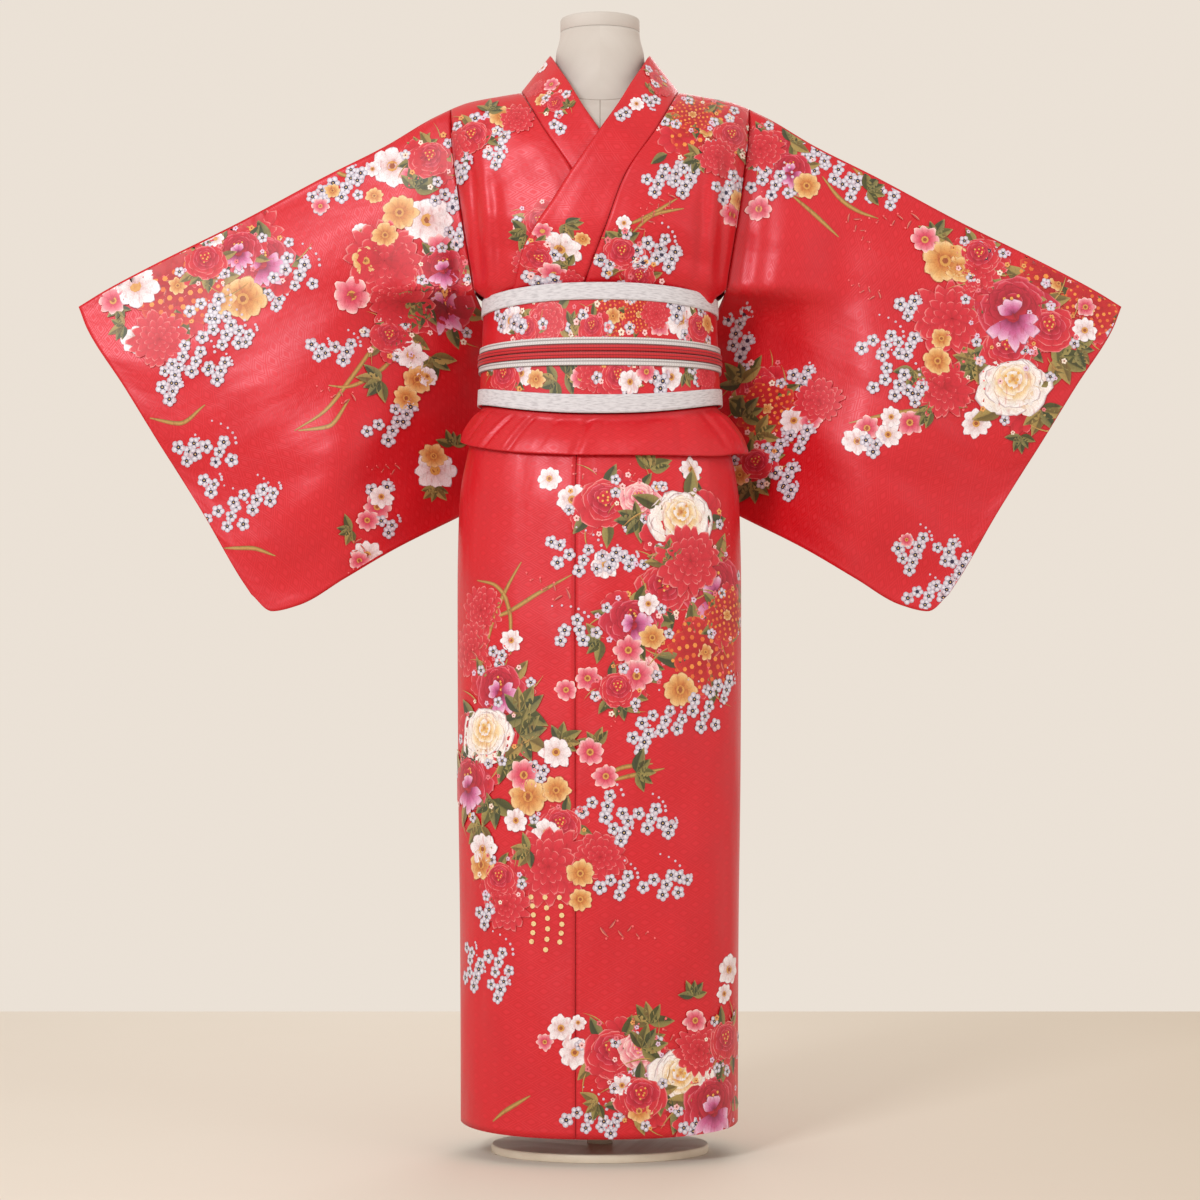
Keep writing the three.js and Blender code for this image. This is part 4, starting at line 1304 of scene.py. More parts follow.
def plum(sheet, x, y, size, turn):
    """A small white plum blossom with a dark eye."""
    rim_turn = np.linspace(0, 2 * math.pi, 8, endpoint=False)
    for k in range(5):
        a = turn + 2 * math.pi * k / 5 + sheet.random.uniform(-0.08, 0.08)
        centre = spot(x, y, 0.56 * size, a)
        rim_x = centre[0] + 0.42 * size * np.cos(rim_turn)
        rim_y = centre[1] + 0.42 * size * np.sin(rim_turn)
        points = np.vstack([[centre], np.stack([rim_x, rim_y], axis=-1)])
        sheet.add(points, PLUM_FACES, PLUM_TINTS, 0.3 + 0.02 * k)
    disc(sheet, (x, y), 0.31 * size, rgb(44, 34, 66), 0.45)
    for k in range(5):
        a = turn + 2 * math.pi * (k + 0.5) / 5
        disc(sheet, spot(x, y, 0.44 * size, a), 0.07 * size, rgb(60, 48, 90), 0.46, 5)
    disc(sheet, (x, y), 0.1 * size, rgb(236, 200, 120), 0.5, 6)


def ring_of_petals(sheet, x, y, radius, count, colours, height, wide, squash, start):
    """Petals round a middle, shorter towards the top and foot by the squash."""
    for k in range(count):
        a = start + 2 * math.pi * k / count + sheet.random.uniform(-0.12, 0.12)
        reach = radius * sheet.random.uniform(0.88, 1.06) * (1 - (1 - squash) * abs(math.sin(a)))
        petal(sheet, (x, y), a, reach, radius * wide, colours, height + 0.012 * (k % 3))


CREAM = shades((206, 138, 62), (238, 206, 150), (246, 240, 232), (252, 250, 250), (176, 150, 156))
CREAM_HEART = shades(
    (196, 120, 48), (228, 170, 88), (246, 222, 176), (255, 248, 236), (208, 176, 150)
)
CRIMSON = shades((104, 4, 24), (158, 10, 36), (190, 22, 50), (206, 44, 68), (232, 120, 136))
CRIMSON_DEEP = shades((88, 0, 20), (140, 6, 32), (176, 16, 44), (196, 34, 60), (150, 8, 36))
PINK = shades((186, 26, 54), (220, 78, 104), (236, 138, 152), (248, 200, 200), (255, 230, 222))
LILAC = shades((140, 24, 78), (204, 96, 150), (228, 160, 200), (242, 204, 228), (122, 30, 84))
WHITE = shades((206, 150, 148), (236, 220, 222), (246, 242, 246), (252, 248, 252), (158, 128, 146))
ORANGE = shades((176, 76, 30), (212, 140, 70), (230, 180, 112), (242, 208, 152), (170, 104, 56))
ROSE_LINE = shades((186, 14, 34), (202, 24, 44), (210, 34, 52), (216, 48, 62), (240, 150, 148))
MEDALLION = shades((176, 12, 24), (190, 20, 30), (198, 28, 34), (206, 44, 40), (224, 96, 60))


def peony(sheet, x, y, size, outer, inner, turn):
    """A peony seen a little from below: wide petals, a cup of inner ones, gold threads."""
    ring_of_petals(sheet, x, y, size, 9, outer, 0.3, 0.4, 0.74, turn)
    ring_of_petals(sheet, x, y + 0.06 * size, 0.8 * size, 8, outer, 0.36, 0.38, 0.76, turn + 0.4)
    ring_of_petals(sheet, x, y + 0.12 * size, 0.6 * size, 7, inner, 0.42, 0.42, 0.8, turn + 0.9)
    ring_of_petals(sheet, x, y + 0.16 * size, 0.4 * size, 6, inner, 0.48, 0.46, 0.9, turn + 0.2)
    ring_of_petals(sheet, x, y + 0.2 * size, 0.22 * size, 4, outer, 0.54, 0.6, 1.0, turn)
    for k in range(7):
        at = spot(x, y + 0.18 * size, 0.1 * size * (1 + k % 2), 0.9 * k + turn)
        disc(sheet, at, 0.04 * size, rgb(232, 178, 84), 0.6, 5)


# A crown's curled petals: each one's turn from the middle one and its share of the size.
CURLS = ((-1.25, 0.62), (-0.8, 0.5), (-0.35, 0.66), (0.1, 0.56), (0.55, 0.6), (1.0, 0.44))


def crown(sheet, x, y, size, twist, turn):
    """A deep crimson peony whose lower front petals curl out in lilac."""
    turn = turn + twist
    peony(sheet, x, y, size, CRIMSON, CRIMSON_DEEP, turn)
    for k, (spread, share) in enumerate(CURLS):
        a = -1.2 + spread + turn
        start = spot(x, y - 0.1 * size, 0.12 * size, a)
        petal(sheet, start, a, size * share, 0.13 * size, LILAC, 0.62 + 0.02 * k, 0.1)
    low = (x, y - 0.06 * size)
    for k in range(3):
        petal(sheet, low, 1.2 + 0.8 * k + turn, 0.36 * size, 0.12 * size, LILAC, 0.74, 0.08)


def daisy(sheet, x, y, size, colours, count, turn):
    """One ring of petals round a gold eye."""
    ring_of_petals(sheet, x, y, size, count, colours, 0.34, 0.3, 0.92, turn)
    disc(sheet, (x, y), 0.24 * size, rgb(214, 158, 78), 0.44, 8)
    disc(sheet, (x, y), 0.13 * size, rgb(160, 84, 40), 0.47, 6)


# Rings of narrow petals: their share of the flower's size, their count and their height.
NARROW_RINGS = ((1.0, 18, 0.24), (0.72, 15, 0.29), (0.46, 11, 0.34), (0.24, 7, 0.39))
# Rings of dots: their share of the flower's size, their count and a dot's own share.
DOT_RINGS = ((0.86, 22, 0.045), (0.68, 16, 0.055), (0.5, 12, 0.06), (0.32, 8, 0.06))


def chrysanthemum(sheet, x, y, size, colours, turn):
    """Many narrow petals in four rings, drawn mostly by their rims."""
    for share, count, height in NARROW_RINGS:
        radius, wide = size * share, 0.17 / share**0.3
        ring_of_petals(sheet, x, y, radius, count, colours, height, wide, 0.9, turn + share)


def medallion(sheet, x, y, size, turn):
    """A dotted round flower in orange on crimson."""
    ring_of_petals(sheet, x, y, size, 14, MEDALLION, 0.24, 0.26, 0.95, turn)
    for share, count, dot in DOT_RINGS:
        for k in range(count):
            a = turn + 2 * math.pi * (k + share) / count
            at = (x + share * size * math.cos(a), y + share * size * math.sin(a) * 0.95)
            colour = rgb(238, 150, 66) if k % 2 else rgb(226, 112, 46)
            disc(sheet, at, dot * size, colour, 0.4, 6)
    daisy(sheet, x, y, 0.22 * size, ORANGE, 7, turn)


LEAF_GREENS = shades((96, 98, 44), (124, 120, 60), (150, 128, 66), (84, 92, 52))
LEAF_GOLD = rgb(204, 180, 112)


def leaf(sheet, x, y, long, turn, bend=0.25, wide=0.24, green=None):
    """A pointed leaf with a light vein."""
    if green is None:
        green = LEAF_GREENS[int(sheet.random.integers(len(LEAF_GREENS)))]
    share = np.linspace(0, 1, 7)
    half = wide * long * np.sin(math.pi * share**0.8) + 0.01
    mid_x, mid_y = long * share, bend * long * share**2
    rows = []
    for side in (-1.0, -0.12, 0.12, 1.0):
        rows.append(np.stack([mid_x, mid_y + side * half], axis=-1))
    flat = np.array(rows).transpose(1, 0, 2)
    cosine, sine = math.cos(turn), math.sin(turn)
    px = x + flat[..., 0] * cosine - flat[..., 1] * sine
    py = y + flat[..., 0] * sine + flat[..., 1] * cosine
    shade = np.zeros((7, 4, 3))
    shade[:, 0] = mix(green, LEAF_GOLD, 0.35)
    shade[:, 3] = green * 0.7
    shade[:, 1] = mix(green, LEAF_GOLD, 0.15)
    shade[:, 2] = green * 0.45
    shade[-1] = mix(green, LEAF_GOLD, 0.6)
    points = np.stack([px, py], axis=-1).reshape(-1, 2)
    sheet.add(points, grid_faces(7, 4), shade.reshape(-1, 3), 0.22)


def blade(sheet, points, wide):
    """A long grass blade through the given points."""
    line = Polyline(points)
    share = np.linspace(0, 1, 22)
    x, z = line.x(share), line.z(share)
    dx, dz = np.gradient(x), np.gradient(z)
    run = np.hypot(dx, dz)
    half = 0.5 * wide * np.sin(math.pi * np.clip(share * 0.92 + 0.04, 0, 1)) ** 0.7
    left = np.stack([x - dz / run * half, z + dx / run * half], axis=-1)
    right = np.stack([x + dz / run * half, z - dx / run * half], axis=-1)
    middle = np.stack([x, z], axis=-1)
    points = np.stack([left, middle, right], axis=1)
    shade = np.zeros((22, 3, 3))
    shade[:, 0] = rgb(132, 104, 44)
    shade[:, 1] = rgb(196, 158, 84)
    shade[:, 2] = rgb(156, 92, 40)
    sheet.add(points.reshape(-1, 2), grid_faces(22, 3), shade.reshape(-1, 3), 0.2)


SPRIG = rgb(226, 96, 100)


def sprig(sheet, x, y, long, turn):
    """Fine side stems with small buds."""
    for k in range(7):
        share = k / 6
        root = spot(x, y, long * share, turn)
        a = turn + (0.9 if k % 2 else -0.9)
        reach = long * 0.2 * (1.2 - share)
        leaf(sheet, *root, reach, a, 0.2, 0.1, SPRIG)
        disc(sheet, spot(*root, reach, a), 0.022 * long, SPRIG * 1.2, 0.3, 6)


def dots(sheet, x, y, long, turn):
    """Strings of cream drops that hang from a stem."""
    for string in range(3):
        for k in range(6):
            share = k / 5
            dx = (string - 1) * 0.28 * long + 0.05 * long * math.sin(3 * share)
            at = (x + dx * math.cos(turn), y - share * long * (1 - 0.15 * abs(string - 1)))
            disc(sheet, at, 0.052 * long, rgb(236, 210, 150), 0.32, 7)


def plums(sheet, x, y, spread, turn):
    """A loose spray of plum blossoms, more of them in a wider one."""
    count = max(2, int(round(spread / 4.6)))
    for k in range(count):
        a = turn + 2.4 * k
        far = spread * math.sqrt((k + 0.35) / count)
        size = 8.8 * sheet.random.uniform(0.86, 1.1)
        plum(sheet, x + far * math.cos(a), y + 0.72 * far * math.sin(a), size, a)
    for k in range(count):
        a = turn + 0.5 + 0.22 * k
        far = spread * (1.15 + 0.16 * k)
        at = (x + far * math.cos(a), y + 0.7 * far * math.sin(a))
        disc(sheet, at, 2.1 - 0.16 * min(k, 6), rgb(214, 198, 214), 0.3, 6)


def leaves(sheet, x, y, long, turn):
    """Five leaves fanned out from one point."""
    for k in range(5):
        a = turn + 2.6 * (k / 4 - 0.5)
        reach = long * sheet.random.uniform(0.8, 1.1)
        leaf(sheet, x, y, reach, a, sheet.random.uniform(-0.25, 0.25))


MOTIFS = {  # what draws each kind, and what it is told between the size and the turn
    "cream": (peony, CREAM, CREAM_HEART),
    "crimson": (crown, 0.0),
    "red": (peony, ROSE_LINE, CRIMSON),
    "pink": (peony, PINK, PINK),
    "lilac": (crown, 0.7),
    "white": (daisy, WHITE, 8),
    "blush": (daisy, PINK, 8),
    "gold": (daisy, ORANGE, 9),
    "line": (chrysanthemum, ROSE_LINE),
    "ring": (medallion,),
    "plums": (plums,),
    "leaves": (leaves,),
    "leaf": (leaf,),
    "sprig": (sprig,),
    "dots": (dots,),
}


def print_material():
    """The mesh's own colours under a fine grain and long, broken brush strokes."""
    p = Paint("print", 0.46, Sheen_Weight=0.1, Sheen_Roughness=0.5)
    colour = p.tree.nodes.new("ShaderNodeVertexColor")
    colour.layer_name = "print"
    places = p.tree.nodes.new("ShaderNodeTexCoord").outputs["Object"]
    grain = p.noise(700.0, 2.0, places)
    strokes = p.noise(230.0, 3.0, places, (1, 1, 0.35))
    speckle = p.range(grain, 0.35, 0.7, 0.0, 0.3)
    stroke = p.math("MAXIMUM", speckle, p.range(strokes, 0.52, 0.7, 0.0, 0.55))
    shade = p.tree.nodes.new("ShaderNodeMix")
    shade.data_type = "RGBA"
    shade.blend_type = "MULTIPLY"
    p.put(stroke, shade.inputs["Factor"])
    p.link(colour.outputs["Color"], shade.inputs[COLOUR_A])
    shade.inputs[COLOUR_B].default_value = srgb(214, 138, 136)
    p.bump((grain, 0.06))
    return p.finish(shade.outputs[COLOUR_OUT])


PRINT = print_material()


# Where each motif lies, seen from the front: kind, x, z, size, turn.
SKIRT_FRONT = [
    ("white", -63, 829, 17, 0), ("white", -34, 803, 22, 10), ("leaves", 63, 841, 31, 70),
    ("leaves", 109, 829, 24, 40), ("red", 6, 797, 41, 20), ("pink", 48, 803, 29, 0),
    ("leaves", 48, 779, 29, 190), ("cream", 99, 779, 51, 0), ("white", 6, 724, 19, 0),
    ("plums", -27, 730, 29, 0), ("white", 114, 841, 17, 0), ("plums", -53, 748, 10, 0),
    ("crimson", 140, 696, 56, 10), ("red", 79, 694, 41, 0), ("line", 109, 730, 48, 0),
    ("lilac", 39, 655, 39, 15), ("leaves", 0, 633, 27, 200), ("leaves", 82, 730, 29, 120),
    ("ring", 128, 619, 53, 0), ("ring", 155, 664, 36, 0), ("pink", 48, 599, 24, 0),
    ("blush", 34, 621, 19, 0), ("plums", -30, 643, 27, 30), ("plums", 10, 730, 17, 0),
    ("gold", 63, 636, 17, 0), ("blush", 44, 590, 22, 20), ("blush", -15, 587, 17, 0),
    ("blush", -41, 573, 15, 0), ("leaves", 24, 561, 27, 250), ("red", 22, 573, 29, 0),
    ("gold", 97, 573, 24, 0), ("plums", 73, 536, 27, 0), ("plums", 121, 541, 31, 0),
    ("plums", 48, 510, 19, 0), ("plums", 150, 573, 22, 0), ("leaves", -5, 506, 22, 120),
    ("white", 58, 677, 15, 0), ("plums", 34, 730, 12, 0), ("sprig", -36, 682, 61, 150),
    ("sprig", 151, 730, 48, 80), ("line", -145, 670, 36, 0), ("line", -157, 621, 41, 0),
    ("sprig", -150, 599, 73, 80), ("white", -107, 633, 16, 0), ("plums", -123, 615, 15, 0),
    ("lilac", -123, 573, 41, 0), ("leaves", -97, 546, 36, 60), ("cream", -140, 517, 48, 0),
    ("leaves", -97, 518, 41, 10), ("leaves", -115, 488, 31, 330), ("leaves", -48, 510, 27, 40),
    ("white", -53, 498, 22, 0), ("blush", -12, 498, 19, 0), ("blush", -92, 470, 22, 0),
    ("plums", -73, 476, 15, 0), ("leaves", 44, 473, 29, 10), ("blush", 7, 469, 17, 0),
    ("crimson", -160, 457, 44, 0), ("leaves", -131, 440, 39, 250), ("leaves", -145, 408, 31, 230),
    ("gold", -87, 444, 27, 0), ("gold", -53, 452, 19, 0), ("red", -48, 408, 31, 0),
    ("white", -65, 401, 19, 0), ("white", -102, 415, 17, 0), ("white", -143, 379, 24, 0),
    ("gold", -145, 360, 22, 0), ("line", -63, 360, 56, 0), ("line", 0, 372, 36, 0),
    ("gold", -24, 352, 19, 0), ("gold", -24, 321, 16, 0), ("plums", 2, 432, 29, 10),
    ("plums", 56, 418, 24, 0), ("plums", 82, 408, 12, 0), ("plums", 24, 401, 15, 0),
    ("plums", 22, 338, 24, 0), ("plums", 75, 338, 27, 0), ("plums", 102, 343, 10, 0),
    ("dots", -67, 323, 63, 0), ("line", -116, 312, 36, 0), ("leaves", -85, 379, 27, 200),
    ("plums", -143, 297, 17, 0), ("plums", -131, 243, 27, 0), ("plums", -157, 222, 22, 0),
    ("plums", -128, 210, 19, 0), ("plums", -162, 252, 15, 0), ("red", -123, 343, 29, 0),
    ("white", -48, 166, 19, 0), ("white", -31, 137, 22, 0), ("blush", -68, 149, 12, 0),
    ("white", -27, 173, 11, 0), ("leaves", 61, 171, 31, 90), ("red", 15, 135, 41, 0),
    ("pink", 48, 137, 31, 0), ("leaves", 51, 142, 31, 40), ("cream", 99, 101, 51, 0),
    ("leaves", 73, 89, 29, 230), ("red", 51, 82, 36, 0), ("crimson", 140, 67, 51, 0),
    ("line", 121, 137, 36, 0), ("blush", 116, 173, 17, 0), ("leaves", 114, 202, 22, 90),
    ("white", 161, 231, 22, 80), ("white", 155, 202, 15, 0), ("gold", 48, 67, 17, 0),
    ("plums", -19, 59, 27, 0), ("plums", 12, 50, 17, 0), ("leaves", -2, 76, 24, 210),
    ("white", 27, 98, 15, 0), ("red", 157, 143, 36, 0), ("plums", 109, 40, 17, 0),
    ("sprig", 0, 288, 67, 350),
]
SKIRT_BLADES = [
    [(-108, 616), (-108, 655), (-114, 684), (-130, 702), (-150, 707)],
    [(-142, 606), (-132, 650), (-116, 690), (-95, 728)],
    [(-146, 640), (-138, 656), (-110, 668), (-74, 690), (-34, 712)],
    [(-140, 520), (-128, 570), (-112, 610)],
    [(-133, 50), (-120, 62), (-102, 74), (-86, 84)],
    [(6, 462), (40, 470), (78, 478)],
    [(0, 466), (30, 480), (64, 484)],
]
SLEEVE_RIGHT = [
    ("white", -260, 1228, 30, 0), ("white", -285, 1225, 12, 0), ("blush", -235, 1215, 18, 0),
    ("gold", -282, 1190, 12, 0), ("leaves", -225, 1248, 25, 110), ("plums", -325, 1202, 28, 0),
    ("plums", -352, 1185, 20, 0), ("plums", -305, 1220, 15, 0), ("leaves", -231, 1198, 28, 60),
    ("red", -212, 1235, 32, 0), ("white", -215, 1158, 35, 0), ("blush", -200, 1122, 22, 0),
    ("gold", -250, 1168, 25, 0), ("gold", -268, 1140, 18, 0), ("white", -298, 1145, 12, 0),
    ("line", -269, 1108, 55, 0), ("gold", -292, 1108, 20, 0), ("plums", -185, 1185, 22, 0),
    ("plums", -180, 1138, 18, 0), ("lilac", -198, 1058, 42, 0), ("crimson", -195, 1098, 32, 0),
    ("leaves", -225, 1060, 38, 240), ("leaves", -245, 1022, 38, 250), ("line", -250, 1060, 45, 0),
    ("blush", -310, 1065, 25, 90), ("white", -240, 995, 22, 0), ("leaves", -215, 995, 32, 280),
    ("red", -265, 1015, 28, 0), ("plums", -322, 995, 22, 0), ("plums", -352, 998, 15, 0),
    ("gold", -232, 965, 20, 0), ("white", -220, 970, 15, 0), ("gold", -245, 940, 18, 0),
    ("leaves", -275, 960, 30, 200), ("sprig", -305, 932, 50, 160), ("plums", -268, 898, 25, 0),
    ("plums", -250, 920, 18, 0), ("white", -210, 852, 28, 0), ("gold", -212, 870, 18, 0),
    ("leaves", -188, 885, 22, 90), ("leaves", -210, 830, 20, 270), ("sprig", -252, 850, 38, 180),
    ("plums", -278, 818, 18, 0), ("blush", -280, 802, 18, 0), ("white", -275, 815, 16, 0),
    ("blush", -292, 785, 15, 0), ("white", -292, 742, 20, 0), ("plums", -268, 780, 15, 0),
    ("leaves", -310, 772, 20, 200), ("sprig", -298, 762, 45, 250), ("blush", -302, 735, 14, 0),
    ("line", -438, 1140, 50, 0), ("lilac", -422, 1108, 45, 0), ("crimson", -452, 1122, 32, 0),
    ("leaves", -468, 1150, 28, 160), ("gold", -445, 1060, 32, 0), ("gold", -475, 1060, 22, 0),
    ("ring", -528, 1078, 60, 0), ("red", -494, 1108, 32, 0), ("leaves", -492, 1100, 28, 200),
    ("white", -582, 1078, 32, 0), ("blush", -610, 1060, 20, 0), ("leaves", -562, 1108, 28, 140),
    ("plums", -382, 1090, 32, 0), ("plums", -488, 1048, 28, 0), ("plums", -405, 1060, 15, 0),
    ("plums", -472, 1015, 30, 0), ("plums", -442, 1015, 15, 0), ("white", -580, 1010, 22, 0),
    ("leaves", -595, 1028, 22, 200), ("line", -550, 1010, 42, 0), ("sprig", -460, 978, 50, 190),
    ("plums", -510, 982, 30, 0), ("plums", -478, 970, 20, 0), ("plums", -535, 965, 18, 0),
    ("leaves", -602, 1052, 20, 260), ("plums", -538, 945, 18, 0), ("white", -482, 1138, 12, 0),
    ("plums", -518, 870, 20, 0), ("plums", -482, 870, 28, 0), ("plums", -488, 830, 15, 0),
    ("plums", -468, 790, 28, 0), ("plums", -435, 810, 25, 0), ("plums", -412, 818, 15, 0),
    ("blush", -350, 1178, 12, 0), ("gold", -335, 1198, 11, 0),
]
SLEEVE_RIGHT_BLADES = [
    [(-262, 1040), (-312, 960), (-342, 920), (-380, 895)],
    [(-245, 1010), (-280, 970), (-320, 950), (-338, 952)],
    [(-310, 1215), (-325, 1220), (-335, 1228)], [(-562, 912), (-525, 905), (-492, 928)],
    [(-375, 895), (-338, 900), (-312, 935)], [(-472, 750), (-438, 750), (-405, 740)],
]
SLEEVE_LEFT = [
    ("red", 222, 1248, 35, 0), ("crimson", 238, 1222, 30, 0), ("plums", 212, 1202, 28, 0),
    ("plums", 205, 1230, 18, 0), ("leaves", 238, 1260, 28, 40), ("gold", 258, 1202, 20, 0),
    ("blush", 198, 1172, 18, 0), ("plums", 292, 1225, 28, 0), ("plums", 312, 1200, 20, 0),
    ("plums", 280, 1245, 15, 0), ("plums", 362, 1192, 25, 0), ("leaves", 335, 1198, 25, 20),
    ("sprig", 312, 1168, 50, 300), ("sprig", 400, 1160, 62, 180), ("line", 200, 1248, 32, 0),
    ("leaves", 418, 1140, 25, 60), ("blush", 406, 1135, 20, 90), ("gold", 431, 1108, 32, 0),
    ("gold", 450, 1098, 20, 0), ("line", 469, 1098, 38, 0), ("red", 475, 1115, 32, 0),
    ("ring", 575, 1082, 58, 0), ("ring", 612, 1048, 40, 0), ("crimson", 515, 1045, 58, 0),
    ("red", 508, 998, 38, 0), ("red", 562, 1022, 38, 0), ("leaves", 572, 988, 38, 330),
    ("cream", 515, 950, 52, 0), ("leaves", 469, 982, 32, 200), ("leaves", 550, 922, 32, 300),
    ("line", 438, 1035, 55, 0), ("line", 425, 948, 42, 0), ("white", 469, 905, 20, 0),
    ("white", 606, 1022, 18, 0), ("leaves", 595, 998, 28, 0), ("plums", 350, 1002, 28, 0),
    ("plums", 380, 1000, 20, 0), ("plums", 382, 1048, 18, 0), ("gold", 420, 982, 20, 0),
    ("gold", 425, 1010, 15, 0), ("leaves", 390, 970, 25, 250), ("plums", 365, 952, 32, 0),
    ("plums", 390, 940, 18, 0), ("blush", 332, 898, 18, 0), ("white", 320, 882, 20, 0),
    ("white", 358, 890, 18, 0), ("blush", 385, 905, 19, 0), ("white", 362, 912, 15, 0),
    ("plums", 338, 878, 15, 0), ("leaves", 412, 920, 22, 180), ("plums", 482, 1122, 15, 0),
    ("leaves", 525, 890, 22, 270), ("blush", 608, 1052, 15, 0), ("sprig", 350, 1060, 45, 150),
    ("plums", 172, 1038, 20, 0), ("plums", 178, 1008, 18, 0), ("red", 200, 960, 32, 0),
    ("leaves", 181, 965, 32, 120), ("ring", 212, 930, 38, 0), ("leaves", 182, 922, 30, 60),
    ("plums", 252, 965, 18, 0), ("white", 245, 912, 19, 0), ("blush", 265, 910, 15, 0),
    ("leaves", 200, 898, 30, 340), ("line", 275, 935, 32, 0), ("plums", 250, 888, 20, 0),
    ("plums", 220, 875, 18, 0), ("red", 200, 860, 28, 0), ("leaves", 195, 838, 28, 250),
    ("plums", 232, 842, 20, 0), ("gold", 180, 848, 15, 0), ("plums", 238, 825, 12, 0),
    ("plums", 392, 752, 22, 0), ("plums", 385, 732, 15, 0), ("plums", 430, 745, 20, 0),
    ("plums", 448, 728, 18, 0), ("plums", 405, 690, 22, 0), ("plums", 428, 698, 18, 0),
    ("sprig", 445, 695, 38, 60), ("blush", 382, 760, 10, 0),
]
SLEEVE_LEFT_BLADES = [
    [(278, 1215), (302, 1185), (325, 1170), (348, 1162)], [(300, 1250), (322, 1225), (335, 1202)],
    [(238, 1190), (265, 1168), (298, 1138)], [(320, 1235), (328, 1215), (325, 1198)],
    [(310, 905), (375, 918), (458, 925)],
]
BODICE_RIGHT = [
    ("plums", -124, 1250, 24, 0), ("plums", -146, 1274, 19, 0), ("red", -158, 1254, 29, 0),
    ("line", -184, 1247, 27, 0), ("gold", -121, 1279, 17, 0), ("plums", -172, 1216, 15, 0),
    ("leaves", -138, 1288, 22, 60), ("white", -199, 1203, 17, 0), ("plums", -129, 1225, 15, 0),
    ("line", -102, 1274, 24, 0), ("red", -73, 1140, 27, 0), ("leaves", -90, 1128, 27, 200),
    ("plums", -63, 1111, 12, 0), ("blush", -53, 1106, 15, 0), ("red", -67, 1092, 27, 0),
    ("line", -85, 1092, 24, 0),
]
BODICE_LEFT = [
    ("ring", 131, 1260, 51, 0), ("ring", 114, 1281, 27, 0), ("red", 163, 1255, 27, 0),
    ("plums", 65, 1188, 19, 0), ("plums", 87, 1202, 19, 0), ("plums", 109, 1205, 17, 0),
    ("plums", 99, 1188, 15, 0), ("plums", 150, 1185, 17, 0), ("plums", 172, 1202, 15, 0),
    ("leaves", 121, 1224, 24, 200), ("blush", 163, 1159, 17, 0), ("gold", 174, 1178, 15, 0),
    ("leaf", 82, 1226, 24, 200), ("sprig", 92, 1171, 44, 200), ("sprig", 44, 1134, 48, 30),
    ("line", 143, 1226, 27, 0), ("plums", 67, 1110, 24, 0), ("plums", 82, 1098, 17, 0),
    ("plums", 48, 1093, 15, 0), ("red", 27, 1103, 27, 0), ("red", 48, 1074, 22, 0),
    ("white", 29, 1139, 11, 0), ("plums", 7, 1091, 15, 0), ("leaves", 27, 1117, 22, 60),
]
BODICE_LEFT_BLADES = [
    [(27, 1134), (61, 1149), (94, 1171)], [(39, 1127), (65, 1149), (102, 1159)],
]


# ---- Charts of the panels ------------------------------------------------------------------------
# A chart reads flat places in millimetres as the surface's own two numbers, and tells which of them
# lay outside the panel and were brought to its edge.
Chart = namedtuple("Chart", "surface read steps outward")
SKIRT_LEVEL = 560.0  # where the way round the skirt is measured
BACK_MIDDLE = 490.0  # the way round the skirt from its front middle to its back middle
SASH_BACK = 430.0  # the same for the sash


def way_along(surface, numbers, other):
    """The line of a surface at one value of its other number, and the way along it from nought."""
    line = surface(numbers, np.full(numbers.shape, other))
    run = np.concatenate([[0], np.cumsum(np.linalg.norm(np.diff(line, axis=0), axis=1))])
    return line, run - np.interp(0, numbers, run)


def skirt_chart(lifted, low, high):
    surface = skirt_surface(lifted)
    turn = np.linspace(-180, 300, 961)
    _, run = way_along(surface, turn, SKIRT_LEVEL)

    def read(u, v):
        degrees = np.interp(u, run, turn)
        held = np.clip(degrees, low, high)
        foot = hem_height(held) + 0.5
        z = np.clip(v, foot, SKIRT_TOP - 20)
        return held, z, (degrees != held) | (z != v)

    return Chart(surface, read, (0.4, 0.5), 1)


def skirt_from_front():
    """A function from x as seen from the front to the way round the skirt."""
    ring, run = way_along(skirt_surface(True), np.linspace(-86, 86, 345), SKIRT_LEVEL)

    def to_run(x):
        return float(np.interp(x, ring[:, 0], run))

    return to_run


SHARES = np.linspace(0, 1, 31)
SHARE_GRID = np.stack(np.meshgrid(SHARES, SHARES, indexing="ij"), axis=-1).reshape(-1, 2)
EDGE = np.linspace(0, 1, 161)
EDGE_SHARES = np.concatenate([
    np.stack([EDGE, 0 * EDGE], axis=-1),
    np.stack([EDGE, 0 * EDGE + 1], axis=-1),
    np.stack([0 * EDGE, EDGE], axis=-1),
    np.stack([0 * EDGE + 1, EDGE], axis=-1),
])


def nearest_share(shares, at):
    """The share out of a list whose place on the sleeve is nearest to each point."""
    near = np.stack(sleeve_outline(shares[:, 0], shares[:, 1]), axis=-1)
    found = [
        np.argmin(((part[:, None, :] - near[None, :, :]) ** 2).sum(-1), axis=1)
        for part in np.array_split(at, max(1, len(at) // 2000))
    ]
    return shares[np.concatenate(found)].T.copy()


